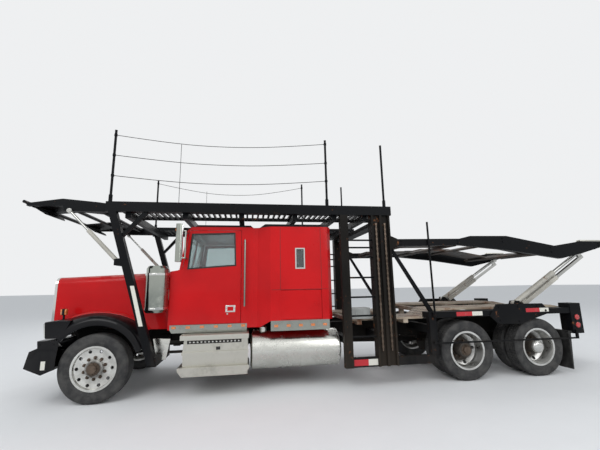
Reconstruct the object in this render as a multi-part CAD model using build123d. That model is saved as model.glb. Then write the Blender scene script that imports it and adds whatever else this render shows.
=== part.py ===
from build123d import *

import os
from math import atan2, degrees, hypot

# Car transporter truck with a bonneted sleeper cab and a black carrying rack
# Millimetres. +X runs to the rear, -Y is the truck's left side, +Z is up.
# Lengths along X are given from the front axle; write() moves every piece to
# the middle of the truck's length, where the origin is, on the ground.

# Ends of the truck and its widths
RAMP_TIP = -1120
DECK_END = 8560
RACK_HALF = 1290
ORIGIN_X = (RAMP_TIP + DECK_END) / 2

# Clearances
DOOR_GAP = 6
HINGE_GAP = 0.5
PIN_GAP = 0.5
RUN_GAP = 5

# Wheels and axles
TYRE_RADIUS = 465
TYRE_WIDTH = 255
BEAD_RADIUS = 286
LIP_RADIUS = 302
FLANGE_INSET = 28
STEER_WHEEL_Y = 1002
TWIN_OUTER_Y = 1092
TWIN_SPACING = 300
WHEELBASE = 5652
TANDEM = 1320
DRIVE_XS = (WHEELBASE, WHEELBASE + TANDEM)
KINGPIN_Y = 880
KINGPIN_RADIUS = 25
SPINDLE_RADIUS = 42
HAND_HOLE_RADIUS = 232
AXLE_TUBE_RADIUS = 68

# Chassis
FRAME_HALF = 430
FRAME_TOP = 910
RAIL_DEPTH = 270
RAIL_FLANGE = 90
RAIL_WALL = 10
FRAME_FRONT = -640
FRAME_REAR = 7640
CROSSMEMBER_XS = (-560, 1720, 2300, 3400, 4600, 6312, 7590)

# Cab and sleeper
CAB_HALF = 1000
CAB_FRONT = 930
CAB_REAR = 2190
CAB_FLOOR = 930
CAB_ROOF = 2500
WALL = 40
ROOF_CAP = 45
SLEEPER_HALF = 1150
SLEEPER_FLARE_END = 2460
SLEEPER_REAR = 3440
SLEEPER_FLOOR = 1030
SLEEPER_ROOF = 2490
HATCH_XS = (2613, 3267)
HATCH_ZS = (1036, 1489)
PORT_XS = (2865, 2990)
PORT_ZS = (1830, 2130)
GLASS = 6

# Hood and fenders
HOOD_FRONT = -790
HOOD_REAR = 915
HOOD_FRONT_HALF = 700
HOOD_REAR_HALF = 880
HOOD_FRONT_TOP = 1740
HOOD_REAR_TOP = 1800
HOOD_BOTTOM = 940
HOOD_WALL = 12
HOOD_PIVOT = (-660, 800)
ARCH_RADIUS = 650
FENDER_HALF = 1150
FENDER_INNER = 640
FENDER_WALL = 14

# Head rack over the cab
RAIL_TOP = 2822
RAIL_HEIGHT = 150
RAIL_WIDTH = 90
RAIL_START = 40
RAIL_END = 4450
RUNWAY_YS = (520, 1100)
RUNWAY_LIP = 60
RIB_PITCH = 88
RIB_WIDTH = 30
HEAD_BEAM_XS = (330, 1150, 2000, 2850, 3500, 4020)
LEG_TOP_X = 135
LEG_FOOT = (800, 500)
LEG_WIDTH = 110
LEG_INNER = 1190

# Head ramp ahead of the rack
RAMP_PIVOT = (90, 2745)
RAMP_ARM_YS = (1110, 1180)
RAMP_PIN = (-450, 2680)
RAMP_CYLINDER_FOOT = (262, 1930)
RAMP_CYLINDER_Y = 1240

# Posts and masts behind the sleeper
POST_X = (3570, 3700)
MAST_X = (4100, 4420)
MAST_YS = (1130, 1290)
POST_FOOT = 315
RUNG_ZS = (757, 1070, 1355, 1660, 1980, 2140, 2260)
RUNG_RADIUS = 14

# Rear upper deck
DECK_PIVOT = (4500, 2220)
DECK_ARM_YS = (1170, 1250)
DECK_PIN = (8189, 2082)
LIFT_FOOT = (6705, 1181)
LIFT_Y = 1100
LIFT_EYE_HALF = 46
DECK_PIVOT_RADIUS = 25

# Lower deck and side frames
LOWER_DECK_TOP = 1010
LOWER_DECK_HUMP = 1130
LOWER_DECK_REAR = 7850
SILL_ZS = (1000, 1090)
SILL_YS = (1030, 1240)


def box(x0, x1, y0, y1, z0, z1):
    """Box between the given lowest and highest x, y and z."""
    return Pos((x0 + x1) / 2, (y0 + y1) / 2, (z0 + z1) / 2) * Box(x1 - x0, y1 - y0, z1 - z0)


def slab(outline, y0, y1):
    """Plate whose side view is the closed outline of (x, z) points, from y0 to y1."""
    face = make_face(Polyline([(x, y0, z) for x, z in outline], close=True))
    return extrude(face, amount=y1 - y0, dir=(0, 1, 0))


def plan(outline, z0, z1):
    """Block whose plan is the closed outline of (x, y) points, from z0 to z1."""
    face = make_face(Polyline([(x, y, z0) for x, y in outline], close=True))
    return extrude(face, amount=z1 - z0, dir=(0, 0, 1))


def cross(outline, x0, x1):
    """Block whose end view is the closed outline of (y, z) points, from x0 to x1."""
    face = make_face(Polyline([(x0, y, z) for y, z in outline], close=True))
    return extrude(face, amount=x1 - x0, dir=(1, 0, 0))


def rod(start, end, radius):
    """Round bar from one (x, y, z) point to another."""
    run = Vector(*end) - Vector(*start)
    ends = (Align.CENTER, Align.CENTER, Align.MIN)
    return Plane(origin=start, z_dir=run) * Cylinder(radius, run.length, align=ends)


def strut(start, end, depth, y0, y1, offset=0):
    """Flat bar between two (x, z) points, depth across it, pushed sideways by offset."""
    run_x, run_z = end[0] - start[0], end[1] - start[1]
    length = hypot(run_x, run_z)
    side_x, side_z = -run_z / length, run_x / length
    corners = [(start, offset - depth / 2), (end, offset - depth / 2), (end, offset + depth / 2), (start, offset + depth / 2)]
    return slab([(p[0] + side_x * s, p[1] + side_z * s) for p, s in corners], y0, y1)


def both(shape):
    """The piece and its mirror image on the truck's other side."""
    return shape + mirror(shape, about=Plane.XZ)


def along(start, end, distance):
    """Point at a distance from start on the line to end, in (x, z)."""
    length = hypot(end[0] - start[0], end[1] - start[1])
    return tuple(a + (b - a) * distance / length for a, b in zip(start, end))


def outboard(shape, x, y, side):
    """A wheel piece made about +Z outwards, set on its axle at x and y; side is -1 left, 1 right."""
    return Pos(x, side * y, TYRE_RADIUS) * Rot(-90 * side, 0, 0) * shape


def ring(profile):
    """Solid of revolution about Z from closed (radius, z) points."""
    return revolve(make_face(Polyline([(r, 0, z) for r, z in profile], close=True)), Axis.Z)


# Wheels

def tyre():
    """Low-profile truck tyre on its bead seat, with a plain crown."""
    half = TYRE_WIDTH / 2
    # radius, half width there
    stations = ((BEAD_RADIUS, half - FLANGE_INSET - 1), (LIP_RADIUS + 4, half - FLANGE_INSET - 1), (385, half),
                (TYRE_RADIUS - 16, half - 14), (TYRE_RADIUS, half - 32))
    profile = [(r, -z) for r, z in stations] + [(r, z) for r, z in reversed(stations)]
    return ring(profile)


def rim(disc_z, dish, hub_radius, hub_z, hole_count, hole_radius):
    """Rim with its disc at disc_z outboard of the tyre's middle, hub boss and ring of hand holes."""
    half = TYRE_WIDTH / 2 - FLANGE_INSET
    lip, well, wall = LIP_RADIUS, BEAD_RADIUS - 34, 12
    barrel = ring([
        (BEAD_RADIUS, -half), (lip, -half - 4), (lip, -half - 12), (BEAD_RADIUS - wall, -half - 10),
        (well - wall, 0), (BEAD_RADIUS - wall, half + 10), (lip, half + 12), (lip, half + 4),
        (BEAD_RADIUS, half), (well, 30), (well, -30)])
    disc = ring([
        (0, hub_z), (hub_radius - 14, hub_z), (hub_radius, hub_z - 14), (hub_radius, disc_z - dish + 14),
        (206, disc_z - dish + 14), (272, disc_z), (272, disc_z - 16), (212, disc_z - dish), (0, disc_z - dish)])
    for number in range(hole_count):
        hole = Pos(HAND_HOLE_RADIUS, 0, disc_z - dish / 2) * Cylinder(hole_radius, 4 * dish)
        disc -= Rot(0, 0, 360 * number / hole_count) * hole
    return barrel + disc


def steer_rim():
    """Polished front wheel: disc almost flush with the lip, ten round holes, hub bored for its spindle."""
    wheel = rim(disc_z=78, dish=24, hub_radius=118, hub_z=118, hole_count=10, hole_radius=17)
    barrel_back = ring([(0, 66), (105, 66), (105, -20), (0, -20)])
    return wheel + barrel_back - Pos(0, 0, 20) * Cylinder(SPINDLE_RADIUS + PIN_GAP, 100)


def twin_rims():
    """Two rear rims back to back on one hub, which is bored for the axle's spindle."""
    junction = -88
    dish = TWIN_SPACING / 2 + junction
    outer = rim(junction, dish, hub_radius=112, hub_z=64, hole_count=5, hole_radius=27)
    inner = Pos(0, 0, -TWIN_SPACING) * Rot(180, 0, 0) * rim(junction, dish, 112, -40, 5, 27)
    bore_depth = TWIN_SPACING + RUN_GAP
    bore = Pos(0, 0, RUN_GAP - bore_depth / 2) * Cylinder(SPINDLE_RADIUS + PIN_GAP, bore_depth)
    return outer + inner - bore


def twin_tyres():
    """The two tyres of a twin wheel."""
    return tyre() + Pos(0, 0, -TWIN_SPACING) * tyre()


# Axles, springs and steering

def front_axle():
    """Dropped beam with an eye for the kingpin at each end."""
    beam = cross([(-KINGPIN_Y, 410), (-700, 410), (-520, 330), (520, 330), (700, 410), (KINGPIN_Y, 410),
                  (KINGPIN_Y, 520), (700, 520), (520, 440), (-520, 440), (-700, 520), (-KINGPIN_Y, 520)], -40, 40)
    for side in (-1, 1):
        beam += Pos(0, side * KINGPIN_Y, 465) * Cylinder(45, 110)
        beam -= Pos(0, side * KINGPIN_Y, 465) * Cylinder(KINGPIN_RADIUS + PIN_GAP, 120)
    return beam


def front_springs():
    """Leaf packs under the chassis rails, shackled at both ends."""
    arch = [(-600, 560), (0, 475), (600, 560), (600, 640), (560, 640), (560, 585), (0, 520), (-560, 585),
            (-560, 640), (-600, 640)]
    seat = [(-60, 440), (60, 440), (60, 490), (-60, 490)]
    y0, y1 = FRAME_HALF - 80, FRAME_HALF - 5
    return both(slab(arch, y0, y1) + slab(seat, y0, y1))


def knuckle(side):
    """Steering knuckle: two ears round the beam's end, kingpin and wheel spindle."""
    ear_low = box(-45, 45, KINGPIN_Y - 45, 955, 375, 410 - RUN_GAP)
    ear_high = box(-45, 45, KINGPIN_Y - 45, 955, 520 + RUN_GAP, 555)
    back = box(-45, 45, KINGPIN_Y + 45 + RUN_GAP, 955, 375, 555)
    pin = Pos(0, KINGPIN_Y, 465) * Cylinder(KINGPIN_RADIUS, 180)
    spindle = rod((0, 955, TYRE_RADIUS), (0, STEER_WHEEL_Y + 60, TYRE_RADIUS), SPINDLE_RADIUS)
    shape = ear_low + ear_high + back + pin + spindle
    return shape if side > 0 else mirror(shape, about=Plane.XZ)


def drive_axles():
    """Two driven axles with housing, bowl and spindles, and the shafts that drive them."""
    axles = None
    for x in DRIVE_XS:
        tube = rod((x, -650, TYRE_RADIUS), (x, 650, TYRE_RADIUS), AXLE_TUBE_RADIUS)
        spindle = rod((x, -TWIN_OUTER_Y, TYRE_RADIUS), (x, TWIN_OUTER_Y, TYRE_RADIUS), SPINDLE_RADIUS)
        bowl = rod((x - 170, 0, TYRE_RADIUS), (x + 170, 0, TYRE_RADIUS), 185)
        axle = tube + spindle + bowl
        axles = axle if axles is None else axles + axle
    first = rod((1652, 0, 600), (DRIVE_XS[0] - 160, 0, 500), 55)
    second = rod((DRIVE_XS[0], 0, TYRE_RADIUS), (DRIVE_XS[1], 0, TYRE_RADIUS), 50)
    return axles + first + second


def rear_suspension():
    """Trailing beam under each rail at each drive axle, with its hanger and air spring."""
    beams = None
    for x in DRIVE_XS:
        beam = strut((x - 430, 600), (x + 330, 570), 56, 350, 425)
        saddle = box(x - 70, x + 70, 350, 425, TYRE_RADIUS + AXLE_TUBE_RADIUS, 570)
        hanger = box(x - 460, x - 400, 350, 425, 560, FRAME_TOP - RAIL_DEPTH)
        air_spring = rod((x + 280, 388, 590), (x + 280, 388, FRAME_TOP - RAIL_DEPTH), 37)
        group = both(beam + saddle + hanger + air_spring)
        beams = group if beams is None else beams + group
    return beams


# Chassis

def chassis_frame():
    """Two channel rails, open inwards, tied by channel crossmembers."""
    bottom = FRAME_TOP - RAIL_DEPTH
    inner = FRAME_HALF - RAIL_FLANGE
    section = [(FRAME_HALF, bottom), (FRAME_HALF, FRAME_TOP), (inner, FRAME_TOP), (inner, FRAME_TOP - RAIL_WALL),
               (FRAME_HALF - RAIL_WALL, FRAME_TOP - RAIL_WALL), (FRAME_HALF - RAIL_WALL, bottom + RAIL_WALL),
               (inner, bottom + RAIL_WALL), (inner, bottom)]
    frame = both(cross(section, FRAME_FRONT, FRAME_REAR))
    reach = FRAME_HALF - RAIL_WALL
    for x in CROSSMEMBER_XS:
        web = box(x - 5, x + 5, -reach, reach, 680, 860)
        frame += web + box(x - 5, x + 60, -reach, reach, 680, 690) + box(x - 5, x + 60, -reach, reach, 850, 860)
    return frame


def engine_block():
    """Engine and gearbox as one plain mass between the rails."""
    return box(-380, 760, -300, 300, 640, 1560) + box(760, 1650, -210, 210, 600, 900)


def bumper():
    """Swept guard bumper: hollow section with a side plate at each end, each with a square hole."""
    outer = [(-853, 522), (-640, 423), (-590, 500), (-600, 690), (-714, 758), (-784, 728)]
    inner = [(-833, 530), (-645, 441), (-560, 505), (-560, 690), (-712, 740), (-772, 718)]
    end = 1150
    shell = slab(outer, -end, end) - slab(inner, -end + 12, end - 12)
    shell -= box(-730, -660, -end - 1, end + 1, 540, 640)
    horns = both(box(FRAME_FRONT - 160, FRAME_FRONT, FRAME_HALF - RAIL_FLANGE, FRAME_HALF, 650, 690))
    return shell + horns


# Hood, fenders and grille

def hood_section(x, half, top, bottom, corner):
    """Face of the hood across the truck at x, with rounded top corners."""
    outline = Polyline((x, -half, bottom), (x, half, bottom), (x, half, top), (x, -half, top), close=True)
    face = make_face(outline)
    upper = face.vertices().sort_by(Axis.Z)[-2:]
    return fillet(upper, corner)


def hood_block(inset):
    """Tapered hood block, inset on its top and sides, for the shell's outside and inside."""
    front = hood_section(HOOD_FRONT + inset, HOOD_FRONT_HALF - inset, HOOD_FRONT_TOP - inset, HOOD_BOTTOM, 110 - inset)
    rear = hood_section(HOOD_REAR, HOOD_REAR_HALF - inset, HOOD_REAR_TOP - inset, HOOD_BOTTOM, 110 - inset)
    return loft([front, rear])


def hood_shell():
    """Long square hood: tapered shell, open below and behind, arched over the front wheels."""
    shell = hood_block(0) - hood_block(HOOD_WALL)
    shell -= box(HOOD_FRONT - 1, HOOD_FRONT + 40, -560, 560, 1060, 1640)
    arch = rod((0, -1300, TYRE_RADIUS), (0, 1300, TYRE_RADIUS), ARCH_RADIUS)
    return shell - arch - box(-900, 0, -1300, 1300, 900, 1100)


def fender_outline(inset):
    """Side view of a front fender: lamp block, arch crown and tail, inset by its wall."""
    return [(-728 + inset, 881), (-651 + inset, 1094 - inset), (-486, 1135 - inset), (-169, 1174 - inset),
            (99, 1177 - inset), (333 - inset / 2, 1086 - inset), (480 - inset, 916 - inset / 2), (560 - inset, 800),
            (590 - inset, 720)]


def front_fenders():
    """Black fenders joined to the hood, with the lamp block ahead of each wheel."""
    outer = fender_outline(0) + [(548, 720), (400, 720), (-600, 820), (-728, 820)]
    inner = [(-714, 820), (-714, 881)] + fender_outline(FENDER_WALL)[1:] + [(576, 700), (-600, 700), (-714, 700)]
    shape = slab(outer, FENDER_INNER, FENDER_HALF) - slab(inner, FENDER_INNER - 1, FENDER_HALF + 1)
    lamp_block = slab([(-728, 820), (-728, 881), (-651, 1094), (-500, 1131), (-560, 1000), (-600, 820)], 760, FENDER_HALF)
    skirt_hole = rod((0, 700, TYRE_RADIUS), (0, 1300, TYRE_RADIUS), 600)
    side_lip = slab(outer, FENDER_HALF - FENDER_WALL, FENDER_HALF) - skirt_hole
    inner_lip = slab(outer, FENDER_INNER, FENDER_INNER + FENDER_WALL) - rod((0, 500, TYRE_RADIUS), (0, 800, TYRE_RADIUS), 620)
    fender = shape + (lamp_block - skirt_hole) + side_lip + inner_lip
    return both(fender - hood_block(0))


def grille():
    """Upright radiator grille: chrome surround with vertical bars, in the hood's front."""
    front = HOOD_FRONT - 12
    frame = box(front, HOOD_FRONT, -600, 600, 1020, 1680) - box(front - 1, HOOD_FRONT + 1, -540, 540, 1080, 1620)
    for number in range(-5, 6):
        y = number * 98
        frame += box(front, HOOD_FRONT, y - 10, y + 10, 1070, 1630)
    return frame


# Cab

def cab_profile(inset):
    """Side view of the cab, inset by its wall."""
    return [(CAB_FRONT + inset, CAB_FLOOR + inset), (CAB_FRONT + inset, 1800 - inset), (1060 + inset * 0.6, 1820 - inset * 0.6),
            (1165 + inset, 2440 - inset * 0.2), (1230 + inset * 0.4, CAB_ROOF - inset), (CAB_REAR - inset, CAB_ROOF - inset),
            (CAB_REAR - inset, CAB_FLOOR + inset)]


def door_outline(grow):
    """Side view of a door, grown by a gap for its opening."""
    front = 990 - min(grow, HINGE_GAP)
    return [(front, 1003 - grow), (front, 1795), (1112 - grow, 1850 + grow / 2), (1200 - grow, 2440 + grow),
            (2000 + grow, 2440 + grow), (2000 + grow, 1003 - grow)]


WINDOW = [(1190, 1838), (1240, 2380), (1895, 2400), (1914, 1888)]


def cab_shell():
    """Cab body: one hollow pressing with openings for doors, windshield and the way to the sleeper."""
    shell = slab(cab_profile(0), -CAB_HALF, CAB_HALF) - slab(cab_profile(WALL), -CAB_HALF + WALL, CAB_HALF - WALL)
    shell -= slab(door_outline(DOOR_GAP), -CAB_HALF - 1, CAB_HALF + 1)
    for side in (-1, 1):
        y0, y1 = sorted((side * 30, side * (CAB_HALF - 90)))
        shell -= slab([(1000, 1870), (1085, 2400), (1210, 2400), (1160, 1870)], y0, y1)
    shell -= box(CAB_REAR - WALL - 1, CAB_REAR + 1, -500, 500, 1100, 2300)
    return shell


def roof_caps():
    """Black caps on the cab's and the sleeper's roofs, with raked ends."""
    cab = slab([(1250, CAB_ROOF), (1300, CAB_ROOF + ROOF_CAP), (2150, CAB_ROOF + ROOF_CAP), (CAB_REAR, CAB_ROOF)], -920, 920)
    sleeper = slab([(2300, SLEEPER_ROOF), (2380, SLEEPER_ROOF + ROOF_CAP + 10), (3400, SLEEPER_ROOF + ROOF_CAP + 10),
                    (SLEEPER_REAR, SLEEPER_ROOF)], -1060, 1060)
    return cab + sleeper


def windshield():
    """Two flat panes of the windshield, in the middle of the wall."""
    panes = None
    for side in (-1, 1):
        y0, y1 = sorted((side * 30, side * (CAB_HALF - 90)))
        low_x, high_x = 1085, 1175
        pane = slab([(low_x, 1870), (high_x, 2400), (high_x + GLASS, 2400), (low_x + GLASS, 1870)], y0, y1)
        panes = pane if panes is None else panes + pane
    return panes


def door(side):
    """Cab door, as thick as the wall, with its window cut."""
    y0, y1 = CAB_HALF - WALL, CAB_HALF
    panel = slab(door_outline(0), y0, y1) - slab(WINDOW, y0 - 1, y1 + 1)
    handle = box(1800, 1890, CAB_HALF, CAB_HALF + 18, 1190, 1250)
    shape = panel + handle
    return shape if side > 0 else mirror(shape, about=Plane.XZ)


def door_glass(side):
    """Side window pane, in the middle of the door."""
    middle = CAB_HALF - WALL / 2
    pane = slab(WINDOW, middle - GLASS / 2, middle + GLASS / 2)
    return pane if side > 0 else mirror(pane, about=Plane.XZ)


def mirror_head(side):
    """Tall door mirror on two arms."""
    head = box(1040, 1130, 1170, 1330 - 40, 1930, 2500)
    head = fillet(head.edges().filter_by(Axis.Z), 30)
    arm_x, arm_y = 1172, 1212
    arms = rod((arm_x, arm_y, 1990), (arm_x, arm_y, 2400), 12)
    for z in (1990, 2400):
        arms += rod((arm_x, CAB_HALF, z), (arm_x, arm_y, z), 12) + rod((1120, arm_y, z), (arm_x, arm_y, z), 12)
        arms += Pos(arm_x, arm_y, z) * Sphere(12)
    shape = head + arms
    return shape if side > 0 else mirror(shape, about=Plane.XZ)


def sleeper_plan(inset):
    """Plan of the sleeper, which flares from the cab's width to its own."""
    near = [(CAB_REAR + (0 if inset == 0 else -1), CAB_HALF - inset), (2260, CAB_HALF - inset + 8),
            (SLEEPER_FLARE_END, SLEEPER_HALF - inset), (SLEEPER_REAR - 60, SLEEPER_HALF - inset),
            (SLEEPER_REAR - inset, SLEEPER_HALF - 60 - inset / 2)]
    return near + [(x, -y) for x, y in reversed(near)]


def sleeper_shell():
    """Sleeper body: flared hollow box with hatches and port windows cut, open to the cab."""
    shell = plan(sleeper_plan(0), SLEEPER_FLOOR, SLEEPER_ROOF)
    shell -= plan(sleeper_plan(WALL), SLEEPER_FLOOR + WALL, SLEEPER_ROOF - WALL)
    skirt = plan([(CAB_REAR, 960), (CAB_REAR, CAB_HALF), (2260, 1008), (SLEEPER_FLARE_END, 1150), (SLEEPER_FLARE_END, 1100)],
                 CAB_FLOOR, SLEEPER_FLOOR)
    shell += both(skirt - slab([(2300, 929), (2461, 1031), (2461, 929)], 900, 1200))
    for side in (-1, 1):
        y0, y1 = sorted((side * (SLEEPER_HALF - WALL - 1), side * (SLEEPER_HALF + 1)))
        shell -= box(HATCH_XS[0], HATCH_XS[1], y0, y1, *HATCH_ZS)
        shell -= box(PORT_XS[0], PORT_XS[1], y0, y1, *PORT_ZS)
    return shell


def hatch(side):
    """Luggage hatch of the sleeper, hinged at its front edge."""
    x0, x1 = HATCH_XS[0] + HINGE_GAP, HATCH_XS[1] - DOOR_GAP
    z0, z1 = HATCH_ZS[0] + DOOR_GAP, HATCH_ZS[1] - DOOR_GAP
    panel = box(x0, x1, SLEEPER_HALF - WALL, SLEEPER_HALF, z0, z1)
    latch = box(x1 - 110, x1 - 40, SLEEPER_HALF, SLEEPER_HALF + 10, 1250, 1290)
    shape = panel + latch
    return shape if side > 0 else mirror(shape, about=Plane.XZ)


def port_windows():
    """Narrow windows in the sleeper's sides."""
    middle = SLEEPER_HALF - WALL / 2
    return both(box(PORT_XS[0], PORT_XS[1], middle - GLASS / 2, middle + GLASS / 2, *PORT_ZS))


def trim_bands():
    """Polished bands under the cab's and the sleeper's sides."""
    cab = slab([(960, 930), (960, 1000), (2100, 995), (2100, 880), (990, 885)], CAB_HALF, CAB_HALF + 5)
    sleeper = box(SLEEPER_FLARE_END, SLEEPER_REAR - 62, SLEEPER_HALF, SLEEPER_HALF + 5, 880, 1030)
    return both(cab + sleeper)


def marker_lamps():
    """Amber lamps in a row on each trim band."""
    lamps = None
    # first x, pitch, count, y, z
    rows = ((1020, 205, 6, CAB_HALF + 5, 965), (2540, 190, 5, SLEEPER_HALF + 5, 955))
    for first, pitch, count, y, z in rows:
        for number in range(count):
            x = first + pitch * number
            lamp = both(box(x - 30, x + 30, y, y + 14, z - 18, z + 18))
            lamps = lamp if lamps is None else lamps + lamp
    return lamps


def grab_handles():
    """Tall polished handle behind each door."""
    y = CAB_HALF + 60
    bar = rod((2060, y, 1254), (2060, y, 2288), 15)
    for z in (1300, 2240):
        bar += rod((2060, CAB_HALF, z), (2060, y, z), 10)
    return both(bar)


def air_cleaners():
    """Polished air cleaner canister on each side of the cowl, on two brackets."""
    x, y, radius = 765, 1068, 168
    can = Pos(x, y, 1200) * ring([(0, 0), (radius - 30, 0), (radius, 40), (radius, 560), (radius - 12, 575),
                                  (radius - 12, 640), (radius - 40, 680), (0, 680)])
    duct = box(x + 60, CAB_FRONT, 930, 1010, 1380, 1520)
    return both(can + duct)


def interior():
    """Floor, dash and bunk seen through the windows."""
    floor = box(CAB_FRONT + WALL, CAB_REAR - WALL, -900, 900, CAB_FLOOR + WALL, CAB_FLOOR + WALL + 60)
    dash = slab([(975, 1250), (975, 1760), (1060, 1775), (1290, 1640), (1290, 1500), (1180, 1250)], -940, 940)
    return floor + dash


def bunk():
    """Sleeper's bunk base against the rear wall."""
    return box(2650, SLEEPER_REAR - WALL, -1000, 1000, 1510, 1680)


def seats():
    """Driver's and passenger's seats."""
    chair = None
    for side in (-1, 1):
        y0, y1 = side * 520 - 250, side * 520 + 250
        base = box(1560, 1960, y0 + 90, y1 - 90, CAB_FLOOR + WALL + 60, 1330)
        cushion = box(1500, 2000, y0, y1, 1330, 1470)
        back = slab([(1940, 1470), (2060, 2150), (2140, 2140), (2060, 1470)], y0, y1)
        seat = base + cushion + back
        chair = seat if chair is None else chair + seat
    return chair


def steering_wheel():
    """Steering wheel on its column, ahead of the left seat."""
    column = rod((1240, -520, 1560), (1410, -520, 1700), 22)
    lean = degrees(atan2(140, 170))
    wheel = Pos(1410, -520, 1700) * Rot(0, 90 - lean, 0) * (Torus(215, 14) + Box(420, 30, 12) + Cylinder(45, 20))
    return column + wheel


# Tanks and steps

def step_boxes():
    """Battery and step box on each side: casing with an upper and a lower tread."""
    casing = slab([(1200, 300), (1190, 640), (1215, 870), (2115, 870), (2120, 640), (2115, 300)], 640, 1180)
    upper = box(1160, 2130, 700, 1250, 810, 875)
    middle = box(1180, 2125, 1180, 1205, 600, 640)
    lower = slab([(1140, 400), (1140, 440), (2140, 440), (2140, 400), (2080, 320), (1200, 320)], 760, 1260)
    hanger = box(1300, 2000, FRAME_HALF, 640, 700, 860)
    return both(casing + upper + middle + lower + hanger)


def fuel_tanks():
    """Polished round tank on each side with crowned ends, straps and hangers."""
    y, z, radius, start, end = 870, 578, 278, 2160, 3560
    tank = Pos(start, y, z) * Rot(0, 90, 0) * ring([
        (0, 0), (radius - 40, 0), (radius, 28), (radius, end - start - 28), (radius - 40, end - start), (0, end - start)])
    for x0 in (2186, 2917):
        strap = rod((x0, y, z), (x0 + 118, y, z), radius + 6)
        hanger = box(x0 + 20, x0 + 98, FRAME_HALF, y - radius + 60, z - 120, z + 240)
        tank += strap + hanger
    tank += rod((2350, y, z + radius - 20), (2350, y, z + radius + 40), 60)
    return both(tank)


# Head rack

def head_rails():
    """Box rails along the top of the rack, each with the pin that the ramp hangs on."""
    y1 = RACK_HALF
    rail = box(RAIL_START, RAIL_END, y1 - RAIL_WIDTH, y1, RAIL_TOP - RAIL_HEIGHT, RAIL_TOP)
    pin = rod((RAMP_PIVOT[0], RAMP_ARM_YS[0] - 10, RAMP_PIVOT[1]), (RAMP_PIVOT[0], y1 - RAIL_WIDTH, RAMP_PIVOT[1]), 25)
    return both(rail + pin)


def head_floor():
    """Wheel runways of the rack, two lips with ribs between them, laid on crossbeams."""
    y0, y1 = RUNWAY_YS
    z0 = 2690
    start, end = 220, 4400
    runway = box(start, end, y0, y0 + 20, z0, z0 + RUNWAY_LIP) + box(start, end, y1 - 20, y1, z0, z0 + RUNWAY_LIP)
    count = int((end - start) / RIB_PITCH)
    for number in range(count + 1):
        x = start + RIB_WIDTH / 2 + number * (end - start - RIB_WIDTH) / count
        runway += box(x - RIB_WIDTH / 2, x + RIB_WIDTH / 2, y0 + 20, y1 - 20, z0, z0 + 35)
    floor = both(runway)
    reach = RACK_HALF - RAIL_WIDTH
    for x in HEAD_BEAM_XS:
        floor += box(x - 40, x + 40, -reach, reach, z0 - 100, z0)
    return floor


def head_legs():
    """Raked front legs with their feet, ramp cylinder lugs and knee braces."""
    y0, y1 = LEG_INNER, RACK_HALF
    top = (LEG_TOP_X, RAIL_TOP - RAIL_HEIGHT)
    half = LEG_WIDTH / 2
    leg = slab([(top[0] - half, top[1]), (top[0] + half, top[1]), (LEG_FOOT[0] + half, LEG_FOOT[1]),
                (LEG_FOOT[0] - half, LEG_FOOT[1])], y0, y1)
    knee = slab([(255, 2240), (255, 2310), (560, top[1]), (640, top[1])], y0 + 20, y1 - 20)
    foot = box(LEG_FOOT[0] - 60, LEG_FOOT[0] + 60, FRAME_HALF, y1 - 20, LEG_FOOT[1] - 20, LEG_FOOT[1] + 100)
    foot += box(LEG_FOOT[0] - 60, LEG_FOOT[0] + 60, FRAME_HALF, FRAME_HALF + 60, LEG_FOOT[1] + 90, 800)
    x, z = RAMP_CYLINDER_FOOT
    lugs = None
    for ly in (LEG_INNER + 2, RACK_HALF - 20):
        lug = slab([(x - 45, z - 45), (x - 45, z + 45), (x + 60, z + 60), (x + 60, z - 60)], ly, ly + 18)
        lugs = lug if lugs is None else lugs + lug
    pin = rod((x, LEG_INNER, z), (x, RACK_HALF, z), 18)
    return both(leg + knee + foot + (lugs + pin))


def head_ramp():
    """Front ramp: two arms on the rack's pins, cross tubes and the runway noses."""
    y0, y1 = RAMP_ARM_YS
    px, pz = RAMP_PIVOT
    arm = slab([(px, pz - 60), (px - 60, pz - 60), (-560, 2690), (-579, 2766), (-1060, 2760), (-1060, 2800), (-592, 2875),
                (-100, 2830), (px, pz + 60)], y0, y1)
    arm += rod((px, y0, pz), (px, y1, pz), 60)
    arm -= rod((px, y0 - 1, pz), (px, y1 + 1, pz), 25 + PIN_GAP)
    tube_x = RAMP_TIP + 22
    nose = rod((tube_x, 0, 2822), (tube_x, y1, 2822), 22)
    nose += slab([(tube_x, 2810), (tube_x, 2834), (-1040, 2800), (-1040, 2760)], y0, y1)
    tread = slab([(-1040, 2770), (-1040, 2800), (-600, 2845), (-120, 2800), (-120, 2765), (-600, 2810)], RUNWAY_YS[0], RUNWAY_YS[1])
    bars = None
    for x, z in ((-1000, 2775), (-620, 2800), (-180, 2760)):
        bar = rod((x, 0, z), (x, y0 + 10, z), 28)
        bars = bar if bars is None else bars + bar
    flap = slab([(-1090, 2800), (-1060, 2805), (-850, 2690), (-830, 2650), (-870, 2660)], RUNWAY_YS[0] + 60, RUNWAY_YS[1] - 60)
    half = arm + nose + tread + bars + flap
    return half + mirror(half, about=Plane.XZ)


def cylinder_barrel(foot, eye, y, radius, bore, length, eye_radius, eye_half, pin):
    """Cylinder barrel pivoted on a pin at its foot, bored for its rod."""
    start = along(foot, eye, eye_radius - 6)
    end = along(foot, eye, length)
    deep = along(foot, eye, eye_radius + 40)
    past = along(foot, eye, length + 5)
    body = rod((start[0], y, start[1]), (end[0], y, end[1]), radius)
    body -= rod((deep[0], y, deep[1]), (past[0], y, past[1]), bore)
    body += rod((foot[0], y - eye_half, foot[1]), (foot[0], y + eye_half, foot[1]), eye_radius)
    return body - rod((foot[0], y - eye_half - 1, foot[1]), (foot[0], y + eye_half + 1, foot[1]), pin + PIN_GAP)


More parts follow.
